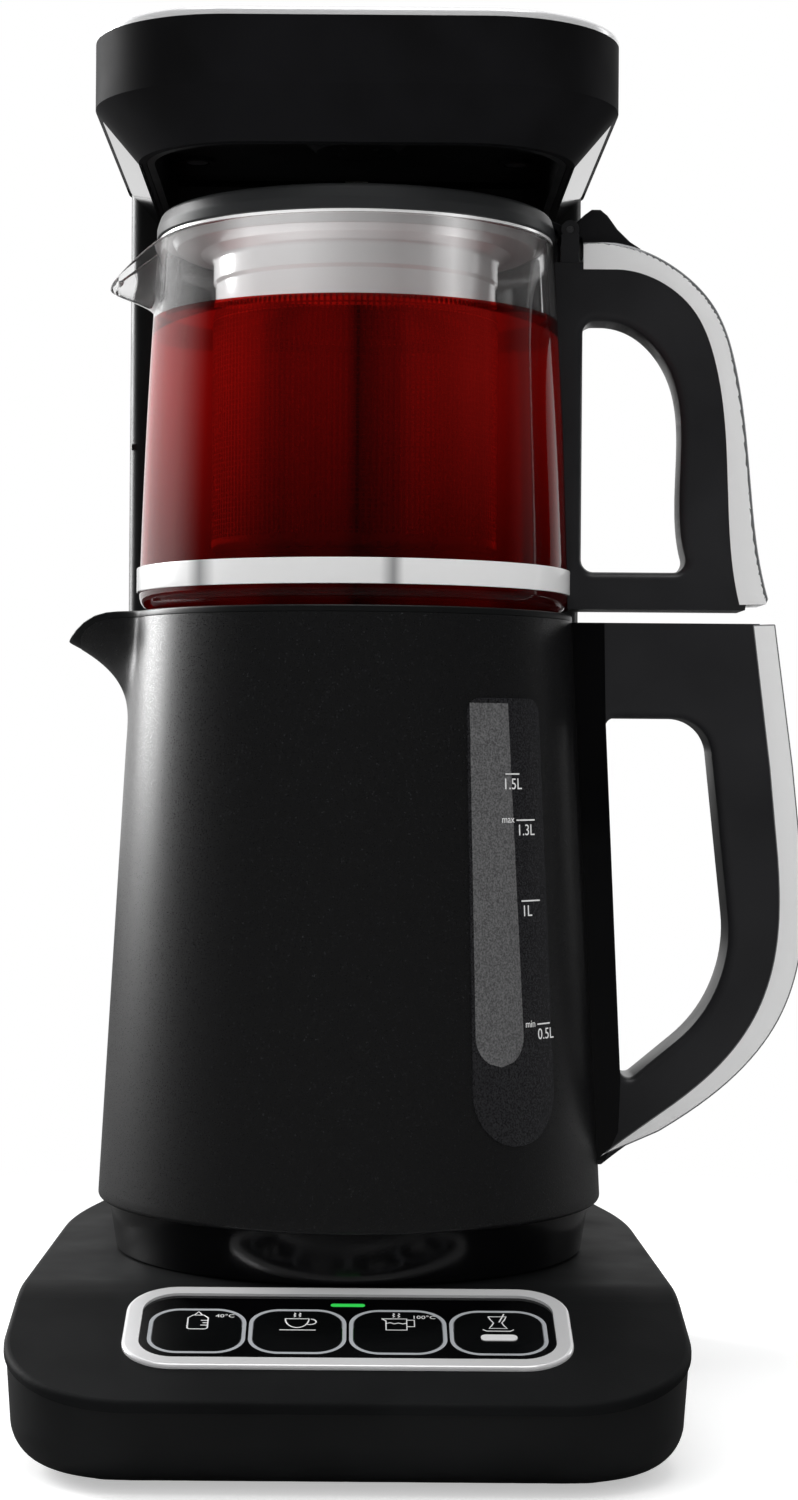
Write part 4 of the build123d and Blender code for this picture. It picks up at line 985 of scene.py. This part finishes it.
# %% Signs
SLOPE = math.radians(15.9)
DECK_TOP, SLOPE_TOP_Y = 45.8, -75.0        # the deck turns down towards the front here
PANEL_Y = -100.5
PANEL_Z = DECK_TOP - (SLOPE_TOP_Y - PANEL_Y) * math.tan(SLOPE)
KEY_PITCH, KEY_ROW, KEY_TOP = 28.8, -2.3, 0.6


def on_key(number):
    """A function that lays (x, y, lift) on the top of a key."""
    middle = (number - 2.5) * KEY_PITCH

    def point(x, y, lift):
        up, out = KEY_ROW + y, KEY_TOP + lift
        return Vector((middle + x, PANEL_Y + up * math.cos(SLOPE) - out * math.sin(SLOPE),
                       PANEL_Z + up * math.sin(SLOPE) + out * math.cos(SLOPE)))
    return point


def steam_lines(x, y):
    """Two wavy lines of steam."""
    wave = [(0, 0), (0.5, 0.7), (0, 1.4), (0.5, 2.1), (0.2, 2.7)]
    return [[(x + dx + px, y + py) for px, py in wave] for dx in (0, 1.5)]


bottle = [[(-2.9, 3.4), (-2.9, -3.2)] + arc(-1.9, -3.2, 1, 1, 180, 270, 4) + arc(1.9, -3.2, 1, 1, 270, 360, 4)
          + [(2.9, 3.4), (1.6, 5.2), (-1.6, 5.2), (-2.9, 3.4)],
          [(-1.2, 5.2), (-0.5, 6.6), (0, 7.6), (0.5, 6.6), (1.2, 5.2)],
          [(0.8, 1.6), (2.9, 1.6)], [(1.4, 0.0), (2.9, 0.0)], [(0.8, -1.6), (2.9, -1.6)]]
cup = [[(-3.6, 3.2), (3.2, 3.2)] + arc(-0.2, 3.2, 3.4, 6.0, 0, -180, 16),
       arc(3.4, 1.2, 1.9, 1.9, 80, -110, 10), [(-5.2, -4.4), (5.2, -4.4)]] + steam_lines(-1.2, 4.4)
jug = [[(-4.6, 3.6), (-3.4, 2.2), (-3.4, -4.0), (2.6, -4.0), (2.6, 3.6), (-4.6, 3.6)],
       [(2.6, 2.8), (4.8, 2.8), (4.8, -1.6), (2.6, -1.6)],
       [(-3.4, 0.4), (-2.2, 1.0), (-1.0, 0.2), (0.2, 0.8), (1.4, 0.2), (2.6, 0.8)]] + steam_lines(-1.4, 4.6)
glass = [[(-2.6, 5.6), (-2.0, 3.4), (-1.2, 1.4), (-1.8, -0.6), (-2.6, -2.4), (2.6, -2.4), (1.8, -0.6),
          (1.2, 1.4), (2.0, 3.4), (2.6, 5.6), (-2.6, 5.6)],
         [(-4.4, -3.2), (-3.4, -4.2), (3.4, -4.2), (4.4, -3.2)], [(0.4, 1.8), (2.0, 7.4)]]
heat = {1: ("40°C", 4.9), 3: ("100°C", 4.1)}     # text and where it starts
SIGN_UP, SIGN_SQUASH, SIGN_LINE = 4.6, 0.9, 0.42
HEAT_TEXT, HEAT_UP = 1.9, 8.0
for number, sign in enumerate((bottle, cup, jug, glass), 1):
    raised = [[(x, y * SIGN_SQUASH + SIGN_UP) for x, y in line] for line in sign]
    parts = [lay(stroke(raised, SIGN_LINE), on_key(number))]
    if number in heat:
        text, start = heat[number]
        parts.append(lay(lettering(text, HEAT_TEXT, start, HEAT_UP), on_key(number), 1.0))
    finish_mesh(f"key_sign_{number}", joined(parts), print_painted_glow_and_lit_bar, f"key_{number}_body")

bm = bmesh.new()
bmesh.ops.create_cube(bm, size=1.0)
bmesh.ops.scale(bm, vec=(10.4, 3.4, 0.5), verts=bm.verts)
upright = [edge for edge in bm.edges if abs(edge.verts[0].co.z - edge.verts[1].co.z) > 0.1]
bevelled(bm, upright, 1.5, 6)
bmesh.ops.translate(bm, vec=(0, -3.4, 0), verts=bm.verts)
finish_mesh("brewing_bar", lay(bm, on_key(4), 1.0), print_painted_glow_and_lit_bar, "key_4_body")
print("signs ready")

# %% [markdown]
# ## Grips with soft edges
#
# A hand closes round the two grips, so their edges are well rounded, and the chrome strips let
# into their backs have a rolled edge, painted darker grey as a painted dark reflection. The CAD
# pieces carry their outline only. Here each is copied, its flat facets are melted into whole faces,
# and what is still sharp is bevelled. The strips are also drawn a little further over the sides of the grips.

# %% Rounded copies
SHARP = math.radians(30.0)


def wrapped(bm, middle, inward, widen):
    """Lets a strip reach further over its grip: inwards by millimetres, and wider across."""
    inner = [face for face in bm.faces
             if abs(face.normal.y) < 0.3 and face.normal.dot(middle - face.calc_center_median()) > 0]
    shifts = {}
    for face in inner:
        for vert in face.verts:
            shifts.setdefault(vert, Vector((0, 0, 0)))
            shifts[vert] += face.normal
    for vert, shift in shifts.items():
        vert.co += shift.normalized() * inward
    for vert in bm.verts:
        vert.co.y = middle.y + (vert.co.y - middle.y) * widen


def softened(node, name, width, material, body, segments=3, painted_dark_edge_material=None, wrap=None):
    """A piece like the CAD node, with its sharp edges rounded by a width in millimetres."""
    bm = bmesh.new()
    bm.from_mesh(nodes[node].data)
    bmesh.ops.transform(bm, matrix=nodes[node].matrix_world, verts=bm.verts)
    bmesh.ops.scale(bm, vec=(1 / MM, 1 / MM, 1 / MM), verts=bm.verts)
    bmesh.ops.remove_doubles(bm, verts=bm.verts, dist=0.002)
    bmesh.ops.dissolve_limit(bm, angle_limit=math.radians(1.0), verts=bm.verts, edges=bm.edges)
    if wrap:
        bm.normal_update()
        wrapped(bm, *wrap)
    sharp = [edge for edge in bm.edges if len(edge.link_faces) == 2 and edge.calc_face_angle() > SHARP]
    bevelled(bm, sharp, width, segments)
    bmesh.ops.recalc_face_normals(bm, faces=bm.faces)
    # Faces turned partly sideways take the second material, a painted dark reflection along the edge.
    if painted_dark_edge_material:
        for face in bm.faces:
            if 0.15 < abs(face.normal.y) < 0.98:
                face.material_index = 1
    piece = finish_mesh(name, bm, material, body, [node], smooth=35, place=False)
    if painted_dark_edge_material:
        piece.data.materials.append(painted_dark_edge_material)
    return piece


IN_KETTLE_GRIP = at(98, 0, 150) / MM       # a point where the fingers go, and its like on the teapot
IN_TEAPOT_GRIP = at(88, 0, 300) / MM
soft_pieces = [
    softened("kettle_handle_strip", "kettle_grip_chrome", 1.0, strip_chrome, "kettle",
             painted_dark_edge_material=chrome_edge_painted_dark, wrap=(IN_KETTLE_GRIP, 2.4, 12.15 / 10.5)),
    softened("teapot_handle_strip", "teapot_grip_chrome", 1.0, strip_chrome, "teapot",
             painted_dark_edge_material=chrome_edge_painted_dark, wrap=(IN_TEAPOT_GRIP, 2.2, 10.15 / 8.5)),
    softened("kettle_handle", "kettle_grip", 2.4, handle_abs, "kettle", 4),
    softened("teapot_handle", "teapot_grip", 2.0, handle_abs, "teapot", 4),
]
print("rounded:", [len(piece.data.polygons) for piece in soft_pieces])

# %% [markdown]
# ## Thumb lever
#
# The lever that opens the lid is a solid wedge with a flat top for the thumb. Its foot dips into a
# pocket in the chrome, so no gap shows under it, and the pocket leaves it room to go down.

# %% Thumb lever
LEVER_HALF = 6.0
lever_top = [(57.6, 376.6), (63.0, 374.9), (66.4, 373.4), (70.4, 374.4), (73.2, 377.0), (75.5, 378.7),
             (78.3, 378.7), (80.6, 376.8), (83.8, 372.4), (87.8, 368.5), (91.2, 366.3)]
lever_foot = [(90.6, 365.5), (86.0, 364.3), (72.8, 364.3), (72.2, 369.6), (65.0, 369.6), (64.2, 372.0),
              (57.6, 374.8)]
bm = bmesh.new()
side = bm.faces.new([bm.verts.new((x, -LEVER_HALF, z)) for x, z in lever_top + lever_foot])
whole = bmesh.ops.extrude_face_region(bm, geom=[side])
bmesh.ops.translate(bm, vec=(0, 2 * LEVER_HALF, 0),
                    verts=[item for item in whole["geom"] if isinstance(item, bmesh.types.BMVert)])
bmesh.ops.recalc_face_normals(bm, faces=bm.faces)
rims = [edge for edge in bm.edges if abs(edge.verts[0].co.y - edge.verts[1].co.y) < 0.1]
bevelled(bm, rims, 0.7, 3)
lever = finish_mesh("thumb_lever", bm, lever_abs, "lid", ["lid_lever"], smooth=40)
print("lever:", len(lever.data.polygons), "faces")
